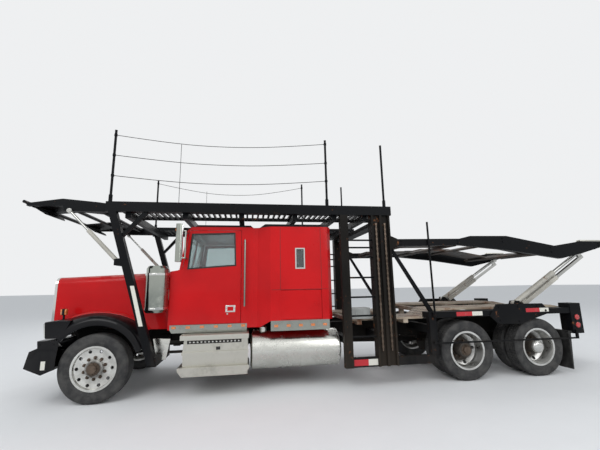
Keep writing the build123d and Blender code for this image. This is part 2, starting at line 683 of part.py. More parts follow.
def cylinder_rod(foot, eye, y, radius, inner_start, eye_radius, eye_half, pin_end):
    """Cylinder rod with its eye, whose pin reaches to pin_end beside what it lifts."""
    start = along(foot, eye, inner_start)
    body = rod((start[0], y, start[1]), (eye[0], y, eye[1]), radius)
    body += rod((eye[0], y - eye_half, eye[1]), (eye[0], y + eye_half, eye[1]), eye_radius)
    return body + rod((eye[0], y, eye[1]), (eye[0], pin_end, eye[1]), radius * 0.7)


def ramp_barrels():
    """Barrels of the two cylinders that hold the front ramp."""
    return both(cylinder_barrel(RAMP_CYLINDER_FOOT, RAMP_PIN, RAMP_CYLINDER_Y, 30, 18.5, 640, 36, 25, 18))


def ramp_rods():
    """Rods of the two ramp cylinders."""
    return both(cylinder_rod(RAMP_CYLINDER_FOOT, RAMP_PIN, RAMP_CYLINDER_Y, 18, 200, 34, 25, RAMP_ARM_YS[1] + 1))


# Posts, masts and side frames

def front_posts():
    """Square posts behind the sleeper."""
    return both(box(POST_X[0], POST_X[1], RACK_HALF - RAIL_WIDTH, RACK_HALF, POST_FOOT, RAIL_TOP - RAIL_HEIGHT))


def masts():
    """Double-channel masts, each with the carriage that the rear deck is pinned to."""
    x0, x1 = MAST_X
    y0, y1 = MAST_YS
    top = RAIL_TOP - RAIL_HEIGHT
    mast = box(x0, x1, y0, y1, POST_FOOT, top)
    for sx0, sx1 in ((x0 + 30, x0 + 140), (x1 - 140, x1 - 30)):
        mast -= box(sx0, sx1, y1 - 40, y1 + 1, POST_FOOT - 1, top + 1)
    px, pz = DECK_PIVOT
    for cy in (DECK_ARM_YS[0] - 30, DECK_ARM_YS[1] + 5):
        mast += slab([(x1, pz - 110), (px + 40, pz - 60), (px + 60, pz), (px + 40, pz + 60), (x1, pz + 110)], cy, cy + 25)
    mast += rod((px, DECK_ARM_YS[0] - 30, pz), (px, DECK_ARM_YS[1] + 30, pz), DECK_PIVOT_RADIUS)
    return both(mast)


def ladder_rungs():
    """Ladder rungs between the front post and the mast."""
    rungs = None
    for z in RUNG_ZS:
        rung = both(rod((POST_X[1], 1240, z), (MAST_X[0], 1240, z), RUNG_RADIUS))
        rungs = rung if rungs is None else rungs + rung
    return rungs


def mast_braces():
    """Cross portal between the masts, and the diagonal from each mast down to the side frame."""
    portal = box(MAST_X[0] + 60, MAST_X[1] - 60, -MAST_YS[0], MAST_YS[0], 2520, 2590)
    diagonal = both(slab([(MAST_X[1], 2290), (MAST_X[1], 2200), (5075, SILL_ZS[1]), (5150, SILL_ZS[1])], 1095, 1135))
    return portal + diagonal


def low_rails():
    """Low side rails from the front post back to the drive wheels, with the upright at their end."""
    tie = box(POST_X[1], MAST_X[0], 1180, 1260, POST_FOOT, 450)
    rail = box(MAST_X[1], 5030, 1180, 1260, POST_FOOT, 440)
    upright = box(5000, 5120, 1150, 1250, 440, 1000)
    return both(tie + rail + upright)


def side_outriggers():
    """Beams from the chassis out to the posts, masts and side frames."""
    beams = None
    # x, bottom, top, reach
    table = ((3635, 660, 760, 1200), (4260, 660, 780, 1130), (5060, 760, 880, 1150))
    for x, z0, z1, reach in table:
        beam = both(box(x - 50, x + 50, FRAME_HALF, reach, z0, z1))
        beams = beam if beams is None else beams + beam
    return beams


def side_frames():
    """Side frames over the drive wheels: sill, gusset plate, lift-leg lugs and rear column."""
    sill = box(5000, 7640, SILL_YS[0], SILL_YS[1], *SILL_ZS)
    gusset = slab([(6220, 1186), (7090, 1178), (7240, 1026), (6625, 855), (6226, 868), (6078, 1002)], 1240, 1262)
    column = box(7640, 7850, SILL_YS[0], SILL_YS[1] + 10, 660, 1165)
    x, z = LIFT_FOOT
    lugs = None
    for y in (LIFT_Y - LIFT_EYE_HALF - 20, LIFT_Y + LIFT_EYE_HALF + 5):
        lug = slab([(x - 110, SILL_ZS[1]), (x - 40, z + 45), (x + 40, z + 45), (x + 110, SILL_ZS[1])], y, y + 15)
        lugs = lug if lugs is None else lugs + lug
    pin = rod((x, LIFT_Y - LIFT_EYE_HALF - 20, z), (x, LIFT_Y + LIFT_EYE_HALF + 20, z), 24)
    return both(sill + gusset + column + lugs + pin)


def guard_bars():
    """Thin side guard bar past the drive wheels, hung from the side frame."""
    bar = strut((5036, 612), (7700, 592), 26, 1266, 1280)
    stays = box(5040, 5080, 1250, 1280, 600, 640) + box(7660, 7700, 1250, 1280, 590, 720)
    return both(bar + stays)


def safety_posts():
    """Round posts that stand on the rack's rails and the masts and carry the hand wires."""
    posts = None
    # x, foot, top
    table = ((83, RAIL_TOP, 3960), (3374, RAIL_TOP, 3960), (4356, RAIL_TOP, 3917))
    for x, z0, z1 in table:
        post = both(rod((x, 1245, z0), (x, 1245, z1), 18))
        posts = post if posts is None else posts + post
    y = DECK_ARM_YS[1] + 22
    stanchion = rod((5090, y, SILL_ZS[0]), (5090, y, 2570), 16) + box(5060, 5120, SILL_YS[1], y, *SILL_ZS)
    return posts + both(stanchion)


def mudflaps():
    """Rubber flaps behind the last wheels."""
    return both(slab([(7560, 700), (7640, 700), (7640, 665), (7610, 660), (7570, 80), (7555, 80)], 640, 1220))


# Decks

def lower_deck():
    """Lower runways from behind the sleeper over the drive wheels, and the beams under them."""
    y0, y1 = 430, 1020
    top, hump, end = LOWER_DECK_TOP, LOWER_DECK_HUMP, LOWER_DECK_REAR
    path = [(3760, top), (5000, top), (5200, hump), (7500, hump), (end, 1060)]
    outline = path + [(x, z - 36) for x, z in reversed(path)]
    deck = both(slab(outline, y0, y1))
    # x, underside of the runway
    table = ((3900, LOWER_DECK_TOP - 36), (4700, LOWER_DECK_TOP - 36), (5300, LOWER_DECK_HUMP - 36),
             (6312, LOWER_DECK_HUMP - 36), (7350, LOWER_DECK_HUMP - 36))
    for x, z in table:
        deck += box(x - 40, x + 40, -SILL_YS[0], SILL_YS[0], z - 60, z + 6)
        deck += both(box(x - 40, x + 40, 345, 425, FRAME_TOP, z - 60))
    return deck


DECK_TOP = [(DECK_PIVOT[0], 2280), (5676, 2292), (5885, 2340), (6580, 2344), (7527, 2171), (8075, 2250), (DECK_END, 2250)]
DECK_UNDER = [(DECK_END, 2160), (8100, 2040), (7638, 1943), (6605, 2092), (5664, 2185), (DECK_PIVOT[0], 2160)]


def deck_arms():
    """Side arms of the rear upper deck, pivoted on the mast carriages."""
    y0, y1 = DECK_ARM_YS
    arm = slab(DECK_TOP + DECK_UNDER, y0, y1)
    arm += rod((DECK_PIVOT[0], y0, DECK_PIVOT[1]), (DECK_PIVOT[0], y1, DECK_PIVOT[1]), 60)
    arm -= rod((DECK_PIVOT[0], y0 - 1, DECK_PIVOT[1]), (DECK_PIVOT[0], y1 + 1, DECK_PIVOT[1]), DECK_PIVOT_RADIUS + PIN_GAP)
    return both(arm)


def deck_floor():
    """Runways of the rear deck, which dip between its ends, on tubes across it."""
    y0, y1 = 480, 1040
    path = [(4640, 2250), (5676, 2262), (5885, 2305), (6580, 2300), (7527, 2130), (8075, 2200), (DECK_END - 20, 2205)]
    floor = both(slab(path + [(x, z - 40) for x, z in reversed(path)], y0, y1))
    for x, z in ((4720, 2192), (5640, 2200), (6500, 2240), (7450, 2080), (8460, 2145)):
        floor += rod((x, -DECK_ARM_YS[0], z), (x, DECK_ARM_YS[0], z), 32)
    return floor


def lift_barrels():
    """Lower halves of the two lift legs: cylinder barrel and the box beam beside it."""
    barrel = cylinder_barrel(LIFT_FOOT, DECK_PIN, LIFT_Y, 45, 30.5, 1000, 44, LIFT_EYE_HALF, 24)
    start, end = along(LIFT_FOOT, DECK_PIN, 120), along(LIFT_FOOT, DECK_PIN, 1000)
    beam = strut(start, end, 70, LIFT_Y - 35, LIFT_Y + 35, offset=-95)
    beam -= strut(start, along(LIFT_FOOT, DECK_PIN, 1001), 52, LIFT_Y - 26, LIFT_Y + 26, offset=-95)
    link = strut(along(LIFT_FOOT, DECK_PIN, 130), along(LIFT_FOOT, DECK_PIN, 230), 30, LIFT_Y - 20, LIFT_Y + 20,
                 offset=-50)
    return both(barrel + (beam + link - strut(along(LIFT_FOOT, DECK_PIN, 100), end, 60, LIFT_Y - 30, LIFT_Y + 30)))


def lift_rods():
    """Upper halves of the lift legs: bright rod and the inner box beam."""
    bright = cylinder_rod(LIFT_FOOT, DECK_PIN, LIFT_Y, 30, 420, 46, LIFT_EYE_HALF, DECK_ARM_YS[0] - 1)
    beam = strut(along(LIFT_FOOT, DECK_PIN, 420), along(LIFT_FOOT, DECK_PIN, 1720), 50, LIFT_Y - 25, LIFT_Y + 25, offset=-95)
    link = strut(along(LIFT_FOOT, DECK_PIN, 1640), along(LIFT_FOOT, DECK_PIN, 1720), 100, LIFT_Y - 20, LIFT_Y + 20, offset=-60)
    return both(bright + beam + link)


# Coupling and small equipment

def stinger():
    """Low tail beam behind the drive axles, with the coupling head that a trailer's kingpin drops into."""
    beam = slab([(7250, 640), (7700, 640), (8150, 500), (8560, 480), (8560, 400), (8100, 380), (7600, 440), (7250, 560)], -220, 220)
    side = both(box(7320, 7600, 220, FRAME_HALF, 560, 640))
    plate = Pos(8380, 0, 480) * Cylinder(180, 40)
    bore = Pos(8380, 0, 440) * Cylinder(26, 300)
    return beam + side + plate - bore


def valve_box():
    """Louvred valve box and its oil canister, behind the front post on the left."""
    louvres = box(3740, 4060, -1120, -900, 1050, 1180)
    for number in range(5):
        x = 3800 + number * 32
        louvres -= box(x, x + 14, -1121, -1110, 1075, 1150)
    shelf = box(3720, 4080, -1120, -880, 1010, 1050)
    return louvres + shelf


def write(name, shape):
    """Write one node about the truck's origin."""
    export_step(Pos(-ORIGIN_X, 0, 0) * shape, f"parts/{name}.step")


def springs():
    """Front leaf packs and rear trailing beams."""
    return front_springs() + rear_suspension()


def cab_glass():
    """Windshield panes and the sleeper's port windows."""
    return windshield() + port_windows()


def brightwork():
    """Polished trim bands and grab handles."""
    return trim_bands() + grab_handles()


def cab_interior():
    """Floor, dash, steering wheel and bunk."""
    return interior() + steering_wheel() + bunk()


def posts_and_masts():
    """The square posts and the masts behind the sleeper."""
    return front_posts() + masts()


def rack_beams():
    """Portal, braces, outriggers and ladder rungs between the uprights."""
    return mast_braces() + side_outriggers() + ladder_rungs()


def rear_frames():
    """Side frames over the drive wheels with the low rails ahead of them and the guard bars."""
    return side_frames() + low_rails() + guard_bars()


def main():
    """Build every node and write it."""
    os.makedirs("parts", exist_ok=True)
    for make in (
            chassis_frame, engine_block, front_axle, springs, drive_axles, bumper, hood_shell, front_fenders,
            grille, cab_shell, roof_caps, cab_glass, sleeper_shell, brightwork, marker_lamps, air_cleaners,
            cab_interior, seats, step_boxes, fuel_tanks, head_rails, head_floor, head_legs, head_ramp,
            ramp_barrels, ramp_rods, posts_and_masts, rack_beams, rear_frames, safety_posts, mudflaps,
            lower_deck, deck_arms, deck_floor, lift_barrels, lift_rods, stinger, valve_box):
        write(make.__name__, make())
    for name, side in (("left", -1), ("right", 1)):
        for make in (knuckle, door, door_glass, mirror_head, hatch):
            write(f"{make.__name__}_{name}", make(side))
        write(f"steer_tyre_{name}", outboard(tyre(), 0, STEER_WHEEL_Y, side))
        write(f"steer_rim_{name}", outboard(steer_rim(), 0, STEER_WHEEL_Y, side))
        for place, x in zip(("front", "rear"), DRIVE_XS):
            write(f"drive_tyres_{place}_{name}", outboard(twin_tyres(), x, TWIN_OUTER_Y, side))
            write(f"drive_rims_{place}_{name}", outboard(twin_rims(), x, TWIN_OUTER_Y, side))
    print("written")


main()
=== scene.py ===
"""Looks of the car transporter truck, built round its packed construction.

Metres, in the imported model's frame. Places along the truck are given from the front axle and
moved into the frame by place(). Sides are -1 for the truck's left and 1 for its right.
"""

import logging
from collections.abc import Mapping, Sequence
from dataclasses import dataclass, field, replace
from enum import Enum
from math import copysign, cos, hypot, pi, radians, sin, tau

import bmesh
import bpy
from mathutils import Matrix, Vector


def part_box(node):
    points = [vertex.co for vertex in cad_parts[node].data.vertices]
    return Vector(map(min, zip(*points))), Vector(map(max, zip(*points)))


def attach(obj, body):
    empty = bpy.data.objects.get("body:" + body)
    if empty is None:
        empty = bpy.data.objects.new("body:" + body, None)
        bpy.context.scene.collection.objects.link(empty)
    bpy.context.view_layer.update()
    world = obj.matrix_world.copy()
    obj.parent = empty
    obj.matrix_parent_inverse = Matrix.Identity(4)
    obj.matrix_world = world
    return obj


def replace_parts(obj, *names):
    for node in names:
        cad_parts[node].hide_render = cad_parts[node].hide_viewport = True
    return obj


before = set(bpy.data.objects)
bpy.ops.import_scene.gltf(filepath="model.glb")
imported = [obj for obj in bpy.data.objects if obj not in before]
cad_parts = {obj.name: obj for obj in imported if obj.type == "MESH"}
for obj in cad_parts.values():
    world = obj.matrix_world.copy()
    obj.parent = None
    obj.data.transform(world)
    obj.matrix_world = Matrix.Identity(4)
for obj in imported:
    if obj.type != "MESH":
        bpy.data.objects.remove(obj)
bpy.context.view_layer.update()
LOG = logging.getLogger("transporter")

Socket = bpy.types.NodeSocket
Material = bpy.types.Material
Thing = bpy.types.Object
Pair = tuple[float, float]
Triple = tuple[float, float, float]
Five = tuple[float, float, float, float, float]
Colour = Triple
Outline = Sequence[Pair]
Points = Sequence[Vector]
SIDES: Mapping[int, str] = {-1: "left", 1: "right"}
HANDS = tuple(SIDES.items())
UP = Vector((0.0, 0.0, 1.0))
REARWARD = Vector((1.0, 0.0, 0.0))


def centre_of(node: str) -> Vector:
    """Middle of a CAD node's box."""
    low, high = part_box(node)
    return (low + high) / 2


AXLE_X = centre_of("steer_tyre_left").x


def place(x: float, y: float, z: float) -> Vector:
    """Point of the frame for a place given from the front axle."""
    return Vector((AXLE_X + x, y, z))


def outward(side: int) -> Vector:
    """Direction that points away from the truck on one side."""
    return Vector((0.0, float(side), 0.0))


def lighter(colour: Colour, share: float) -> Colour:
    """Colour with each of its parts multiplied by share."""
    return tuple(min(1.0, part * share) for part in colour)


# Shader arithmetic

class Field:
    """One varying number of a material, used in plain arithmetic."""

    def __init__(self, shader: "Shader", output: Socket) -> None:
        """Wrap a node's output."""
        self.shader = shader
        self.output = output

    def __add__(self, other: "Field | float") -> "Field":
        """Sum."""
        return self.shader.math("ADD", self, other)

    __radd__ = __add__

    def __sub__(self, other: "Field | float") -> "Field":
        """Difference."""
        return self.shader.math("SUBTRACT", self, other)

    def __rsub__(self, other: float) -> "Field":
        """Difference from a plain number."""
        return self.shader.math("SUBTRACT", other, self)

    def __mul__(self, other: "Field | float") -> "Field":
        """Product."""
        return self.shader.math("MULTIPLY", self, other)

    __rmul__ = __mul__

    def clamped(self) -> "Field":
        """The value kept from 0 to 1."""
        return self.shader.math("MINIMUM", self.shader.math("MAXIMUM", self, 0.0), 1.0)

    def above(self, low: float, high: float) -> "Field":
        """0 below low, 1 above high and smooth between them.

        Args:
            low: where the rise starts.
            high: where it ends.

        Returns:
            The new value.
        """
        ranged = self.shader.node(
            "ShaderNodeMapRange", {"interpolation_type": "SMOOTHSTEP"},
            {"Value": self, "From Min": low, "From Max": high})
        return Field(self.shader, ranged.outputs["Result"])

    def near(self, value: float, reach: float) -> "Field":
        """1 at a value, falling to 0 at a distance of reach from it."""
        return 1.0 - self.shader.math("ABSOLUTE", self - value).above(0.0, reach)


class Nodes:
    """A node tree that is emptied and then filled through one method."""

    def __init__(self, owner: Material | bpy.types.World) -> None:
        """Empty the owner's tree.

        Args:
            owner: the material or world that the tree belongs to.
        """
        owner.use_nodes = True
        self.tree = owner.node_tree
        self.tree.nodes.clear()

    def node(self, kind: str, settings: Mapping[str, object],
             inputs: Mapping[str | int, object]) -> bpy.types.Node:
        """Make a node.

        Args:
            kind: the node's type.
            settings: its properties, set first; "stops" holds a ramp's (position, colour) pairs.
            inputs: values, sockets or Fields for its inputs.

        Returns:
            The node.
        """
        made = self.tree.nodes.new(kind)
        for name, value in settings.items():
            if name == "stops":
                for element, (position, colour) in zip(made.color_ramp.elements, value):
                    element.position, element.color = position, (*colour, 1.0)
            else:
                setattr(made, name, value)
        for name, value in inputs.items():
            source = value.output if isinstance(value, Field) else value
            if isinstance(source, Socket):
                self.tree.links.new(source, made.inputs[name])
            else:
                made.inputs[name].default_value = source
        return made


class Shader(Nodes):
    """The node tree of one material."""

    def __init__(self, name: str) -> None:
        """Start an empty material.

        Args:
            name: the material's name.
        """
        self.material = bpy.data.materials.new(name)
        super().__init__(self.material)
        source = self.node("ShaderNodeTexCoord", {}, {})
        self.position = source.outputs["Object"]
        self.facing = source.outputs["Normal"]

    def math(self, operation: str, first: Field | float, second: Field | float = 0.5) -> Field:
        """Math node on one or two values."""
        made = self.node("ShaderNodeMath", {"operation": operation}, {0: first, 1: second})
        return Field(self, made.outputs[0])

    def stretched(self, scale: Colour) -> Socket:
        """Object coordinates multiplied along X, Y and Z."""
        made = self.node("ShaderNodeMapping", {}, {"Vector": self.position, "Scale": scale})
        return made.outputs["Vector"]

    def noise(self, scale: float, detail: float = 4.0, rough: float = 0.55,
              stretch: Colour = (1, 1, 1)) -> Field:
        """Soft noise.

        Args:
            scale: how many patches there are in a metre.
            detail: its octaves.
            rough: how strong the finer octaves are.
            stretch: further scale along each axis, for streaks.

        Returns:
            A value around 0.5.
        """
        made = self.node("ShaderNodeTexNoise", {}, {
            "Vector": self.stretched(stretch), "Scale": scale, "Detail": detail, "Roughness": rough})
        return Field(self, made.outputs["Fac"])

    def cells(self, scale: float, stretch: Colour = (1, 1, 1)) -> Field:
        """Distance from the middle of the nearest of many scattered cells."""
        made = self.node("ShaderNodeTexVoronoi", {}, {"Vector": self.stretched(stretch), "Scale": scale})
        return Field(self, made.outputs["Distance"])

    def bands(self, scale: float, direction: str) -> Field:
        """Parallel waves across X, Y, Z or the diagonal."""
        settings, inputs = {"bands_direction": direction}, {"Vector": self.position, "Scale": scale}
        return Field(self, self.node("ShaderNodeTexWave", settings, inputs).outputs["Fac"])

    def along(self, axis: int) -> Field:
        """Object coordinate along one axis."""
        return Field(self, self.node("ShaderNodeSeparateXYZ", {}, {0: self.position}).outputs[axis])

    def facing_up(self) -> Field:
        """How far the surface faces upwards, from -1 to 1."""
        return Field(self, self.node("ShaderNodeSeparateXYZ", {}, {0: self.facing}).outputs[2])

    def mix(self, share: Field | float, first: object, second: object) -> Socket:
        """Colour between two colours.

        Args:
            share: 0 for the first, 1 for the second.
            first: a colour or a colour socket.
            second: a colour or a colour socket.

        Returns:
            The mixed colour's socket.
        """
        ends = [(*end, 1.0) if isinstance(end, tuple) else end for end in (first, second)]
        made = self.node("ShaderNodeMix", {"data_type": "RGBA"}, {0: share, 6: ends[0], 7: ends[1]})
        return made.outputs[2]

    def bump(self, height: Field, distance: float) -> Socket:
        """Normal raised by a height field, at most distance metres."""
        return self.node("ShaderNodeBump", {}, {"Height": height, "Distance": distance}).outputs["Normal"]

    def finish(self, **inputs: object) -> None:
        """Close the material with a Principled surface.

        Args:
            **inputs: its inputs, named with underscores for spaces.
        """
        named = {name.replace("_", " ").replace("Ior", "IOR"): value for name, value in inputs.items()}
        surface = self.node("ShaderNodeBsdfPrincipled", {}, named)
        self.node("ShaderNodeOutputMaterial", {}, {"Surface": surface.outputs["BSDF"]})


# Finishes

@dataclass(frozen=True)
class Finish:
    """What all finishes share: a material's name and the slot of the record that it follows."""

    name: str
    slot: str | None
    colour: Colour
    roughness: float

    def build(self, shader: Shader) -> None:
        """Make the nodes; each kind of finish has its own.

        Args:
            shader: the empty material to fill.
        """
        raise NotImplementedError

    def material(self) -> Material:
        """Make the material at its first use, under a name that the frame's flat ones don't have.

        Returns:
            The material.
        """
        name = f"{self.name}_finish"
        if name not in bpy.data.materials:
            self.build(Shader(name))
        return bpy.data.materials[name]


@dataclass(frozen=True)
class Paint(Finish):
    """Painted metal: clear coat, settled dust, road film low down, rust in patches."""

    coat: float = 0.0
    coat_roughness: float = 0.06
    specular: float = 0.2
    dust: float = 0.3
    dust_colour: Colour = (0.24, 0.21, 0.17)
    film_foot: float = 0.15
    film_top: float = 1.0
    film: float = 0.3
    rust: float = 0.0
    rust_scale: float = 7.0
    # noise from which rust shows and shows fully, and how far full rust lowers both
    rust_edge: Pair = (0.72, 0.78)
    rust_spread: float = 0.3
    rust_colour: Colour = (0.15, 0.062, 0.028)
    uneven: float = 0.12
    mottle: float = 0.14
    relief: float = 0.0012

    def ground(self, shader: Shader) -> Socket:
        """The paint's own colour, a little uneven."""
        darker, paler = (lighter(self.colour, 1.0 + change) for change in (-self.uneven, self.uneven))
        return shader.mix(shader.noise(1.6, 4.0).above(0.3, 0.7), darker, paler)

    def build(self, shader: Shader) -> None:
        """Make the nodes.

        Args:
            shader: the empty material to fill.
        """
        mottled = shader.noise(9.0, 6.0, 0.62)
        fine = shader.noise(120.0, 3.0)
        streaks = shader.noise(5.0, 5.0, 0.6, (1.0, 1.0, 0.16))
        settled = shader.facing_up().above(0.35, 0.95) * mottled.above(0.32, 0.66)
        low = 1.0 - shader.along(2).above(self.film_foot, self.film_top)
        film = low * streaks.above(0.3, 0.62)
        dirt = (settled * self.dust + film * self.film).clamped()
        spots = shader.noise(self.rust_scale, 8.0, 0.7)
        rust = spots.above(*(edge - self.rust * self.rust_spread for edge in self.rust_edge))
        colour = shader.mix(dirt, self.ground(shader), self.dust_colour)
        flakes = shader.mix(fine, lighter(self.rust_colour, 0.6), lighter(self.rust_colour, 1.5))
        colour = shader.mix(rust, colour, flakes)
        clean = self.roughness - self.mottle / 2
        rough = (dirt * 0.35 + rust * 0.4 + mottled * self.mottle + clean).clamped()
        clear = ((1.0 - dirt - rust) * self.coat).clamped() if self.coat else 0.0
        shader.finish(
            Base_Color=colour, Roughness=rough, Specular_IOR_Level=self.specular, Coat_Weight=clear,
            Coat_Roughness=self.coat_roughness,
            Normal=shader.bump(fine * 0.3 + rust + mottled * 0.25, self.relief))


@dataclass(frozen=True)
class HoodPaint(Paint):
    """The cab's paint, with a pale band along the hood's shoulders: painted highlight where they turn, and
    faded paint.
    """

    shoulder_height: float = 1.77
    shoulder_reach: float = 0.055
    # how strongly the shoulder band is lightened: painted highlight together with faded paint
    fade_and_highlight: float = 0.75
    faded_highlight_colour: Colour = (0.72, 0.26, 0.24)

    def ground(self, shader: Shader) -> Socket:
        """The paint's own colour with its pale shoulder bands of painted highlight and faded paint.

        Args:
            shader: the material.

        Returns:
            The colour.
        """
        ragged = shader.noise(6.0, 6.0, 0.65)
        shoulder = shader.along(2).near(self.shoulder_height, self.shoulder_reach) * ragged.above(0.38, 0.6)
        # pale band along the shoulder: painted highlight with faded paint
        return shader.mix(shoulder * self.fade_and_highlight, super().ground(shader), self.faded_highlight_colour)


@dataclass(frozen=True)
class StripedPaint(Paint):
    """Paint with a flat slanting stripe on the truck's outermost faces, where nothing may stand proud."""

    stripe: Colour = (0.66, 0.65, 0.58)
    outermost: float = 1.29
    # how far inside the outermost face the stripe begins to show and shows fully
    depths: Pair = (0.0015, 0.0005)
    top: Pair = (0.455, 1.59)
    bottom: Pair = (0.607, 1.03)
    width: float = 0.055
    edge: float = 0.002

    def shape(self, shader: Shader) -> Field:
        """The stripe in a side view, between its slanting edges and its ends.

        Args:
            shader: the material.

        Returns:
            1 on the stripe and 0 off it.
        """
        (x0, z0), (x1, z1) = self.top, self.bottom
        slope = (x1 - x0) / (z1 - z0)
        height = shader.along(2)
        start = AXLE_X + x0 - slope * z0
        stop = start + self.width
        along = shader.along(0) - height * slope
        inside = along.above(start, start + self.edge) * (1.0 - along.above(stop, stop + self.edge))
        return inside * height.above(z1, z1 + self.edge) * (1.0 - height.above(z0, z0 + self.edge))

    def ground(self, shader: Shader) -> Socket:
        """The paint's own colour with the stripe on it.

        Args:
            shader: the material.

        Returns:
            The colour.
        """
        across = shader.along(1)
        outer = (across * across).above(*((self.outermost - depth) ** 2 for depth in self.depths))
        return shader.mix(self.shape(shader) * outer, super().ground(shader), self.stripe)


@dataclass(frozen=True)
class Metal(Finish):
    """Bare or polished metal with smears, dulled patches and road film."""

    grain: Colour = (1.0, 1.0, 1.0)
    smear: float = 0.12
    film: float = 0.25
    film_foot: float = 0.1
    film_top: float = 0.9
    film_colour: Colour = (0.3, 0.28, 0.25)
    tarnish: float = 0.1
    tarnished: float = 0.55
    relief: float = 0.0008

    def soil_and_shade(self, shader: Shader) -> Field | float:
        """Dirt and painted shade that lie on a place of their own; plain metal has none."""
        return 0.0

    def build(self, shader: Shader) -> None:
        """Make the nodes.

        Args:
            shader: the empty material to fill.
        """
        lines = shader.noise(14.0, 4.0, 0.6, self.grain)
        blotch = shader.noise(4.0, 6.0, 0.62)
        low = 1.0 - shader.along(2).above(self.film_foot, self.film_top)
        # road film low down, and on a wheel its brake dust with painted shade in the dish
        film = (low * blotch.above(0.35, 0.62) * self.film + self.soil_and_shade(shader)).clamped()
        dull = blotch.above(0.5, 0.72) * self.tarnish
        colour = shader.mix(dull, self.colour, lighter(self.colour, self.tarnished))
        colour = shader.mix(film, colour, self.film_colour)
        clean = self.roughness - self.smear * 0.5
        rough = (lines * self.smear + film * 0.45 + dull * 0.8 + clean).clamped()
        shader.finish(Base_Color=colour, Metallic=(1.0 - film * 0.8).clamped(), Roughness=rough,
                      Normal=shader.bump(lines * 0.5 + blotch * 0.3, self.relief))


@dataclass(frozen=True)
class RimMetal(Metal):
    """Cast wheel whose dish is darkened round its hub: brake dust, with painted shade in the deep dish."""

    hub: Pair = (0.0, 0.0)
    # strength of the brake dust and painted shade in the dish, and the radii where it fades out
    grime: float = 0.8
    grime_reach: Pair = (0.1, 0.17)
    raggedness: float = 0.05

    def soil_and_shade(self, shader: Shader) -> Field:
        """Brake dust with painted shade, dense at the hub and gone at the reach.

        Args:
            shader: the material.

        Returns:
            How much dust and painted shade there is.
        """
        across = shader.along(0) - self.hub[0]
        up = shader.along(2) - self.hub[1]
        radius = shader.math("SQRT", across * across + up * up)
        ragged = shader.noise(24.0, 5.0, 0.6) * self.raggedness
        return (1.0 - (radius + ragged).above(*self.grime_reach)) * self.grime


@dataclass(frozen=True)
class Rubber(Finish):
    """Tyre or moulded rubber, grey with dust that lies in its grain."""

    dust: float = 0.5
    dust_colour: Colour = (0.15, 0.145, 0.135)

    def build(self, shader: Shader) -> None:
        """Make the nodes.

        Args:
            shader: the empty material to fill.
        """
        cloud = shader.noise(7.0, 6.0, 0.65)
        fine = shader.noise(160.0, 3.0)
        dusty = (cloud.above(0.34, 0.68) * self.dust).clamped()
        colour = shader.mix(dusty, lighter(self.colour, 0.9), self.dust_colour)
        shader.finish(Base_Color=colour, Roughness=(dusty * 0.25 + self.roughness).clamped(),
                      Specular_IOR_Level=0.35, Normal=shader.bump(fine * 0.6 + cloud * 0.4, 0.001))


@dataclass(frozen=True)
class Glass(Finish):
    """Tinted glass with a thin film of dust."""

    def build(self, shader: Shader) -> None:
        """Make the nodes.

        Args:
            shader: the empty material to fill.
        """
        film = shader.noise(5.0, 5.0, 0.6).above(0.35, 0.8)
        shader.finish(Base_Color=shader.mix(film * 0.3, self.colour, lighter(self.colour, 0.8)),
                      Roughness=film * 0.08 + self.roughness, Transmission_Weight=0.92, IOR=1.45)


@dataclass(frozen=True)
class Lens(Finish):
    """Moulded lamp lens with fine ribs, tinted lighter and darker by its ribs and cells: moulded pattern with
    painted glints of a bright reflector behind it.
    """

    ribs: float = 70.0

    def build(self, shader: Shader) -> None:
        """Make the nodes.

        Args:
            shader: the empty material to fill.
        """
        ribs = shader.bands(self.ribs, "Z")
        cells = shader.cells(60.0)
        facets = (ribs * 0.5 + cells * 0.6).clamped()
        # lighter and darker facets: the moulded pattern with painted glints of the reflector behind the lens
        colour = shader.mix(facets, lighter(self.colour, 0.7), lighter(self.colour, 1.25))
        shader.finish(Base_Color=colour, Roughness=self.roughness, Coat_Weight=0.8,
                      Coat_Roughness=0.04, Normal=shader.bump(ribs, 0.001))


@dataclass(frozen=True)
class Tape(Finish):
    """Reflective tape with its small cells, scuffed."""

    def build(self, shader: Shader) -> None:
        """Make the nodes.

        Args:
            shader: the empty material to fill.
        """
        cells = shader.cells(210.0).above(0.2, 0.5)
        scuff = shader.noise(18.0, 6.0, 0.7).above(0.56, 0.7)
        colour = shader.mix(cells * 0.35, self.colour, lighter(self.colour, 0.7))
        shader.finish(Base_Color=shader.mix(scuff * 0.5, colour, (0.2, 0.18, 0.16)),
                      Roughness=scuff * 0.3 + self.roughness, Normal=shader.bump(cells, 0.0004))


@dataclass(frozen=True)
class Plastic(Finish):
    """Grained moulding with dust on its upward faces."""

    grain: float = 300.0

    def build(self, shader: Shader) -> None:
        """Make the nodes.

        Args:
            shader: the empty material to fill.
        """
        grain = shader.cells(self.grain)
        broad = shader.noise(3.0, 4.0)
        dust = shader.facing_up().above(0.4, 0.95) * 0.3
        colour = shader.mix(broad, lighter(self.colour, 0.85), lighter(self.colour, 1.15))
        rough = (broad * 0.2 + self.roughness).clamped()
        shader.finish(Base_Color=shader.mix(dust, colour, (0.3, 0.28, 0.25)), Roughness=rough,
                      Normal=shader.bump(grain, 0.0005))


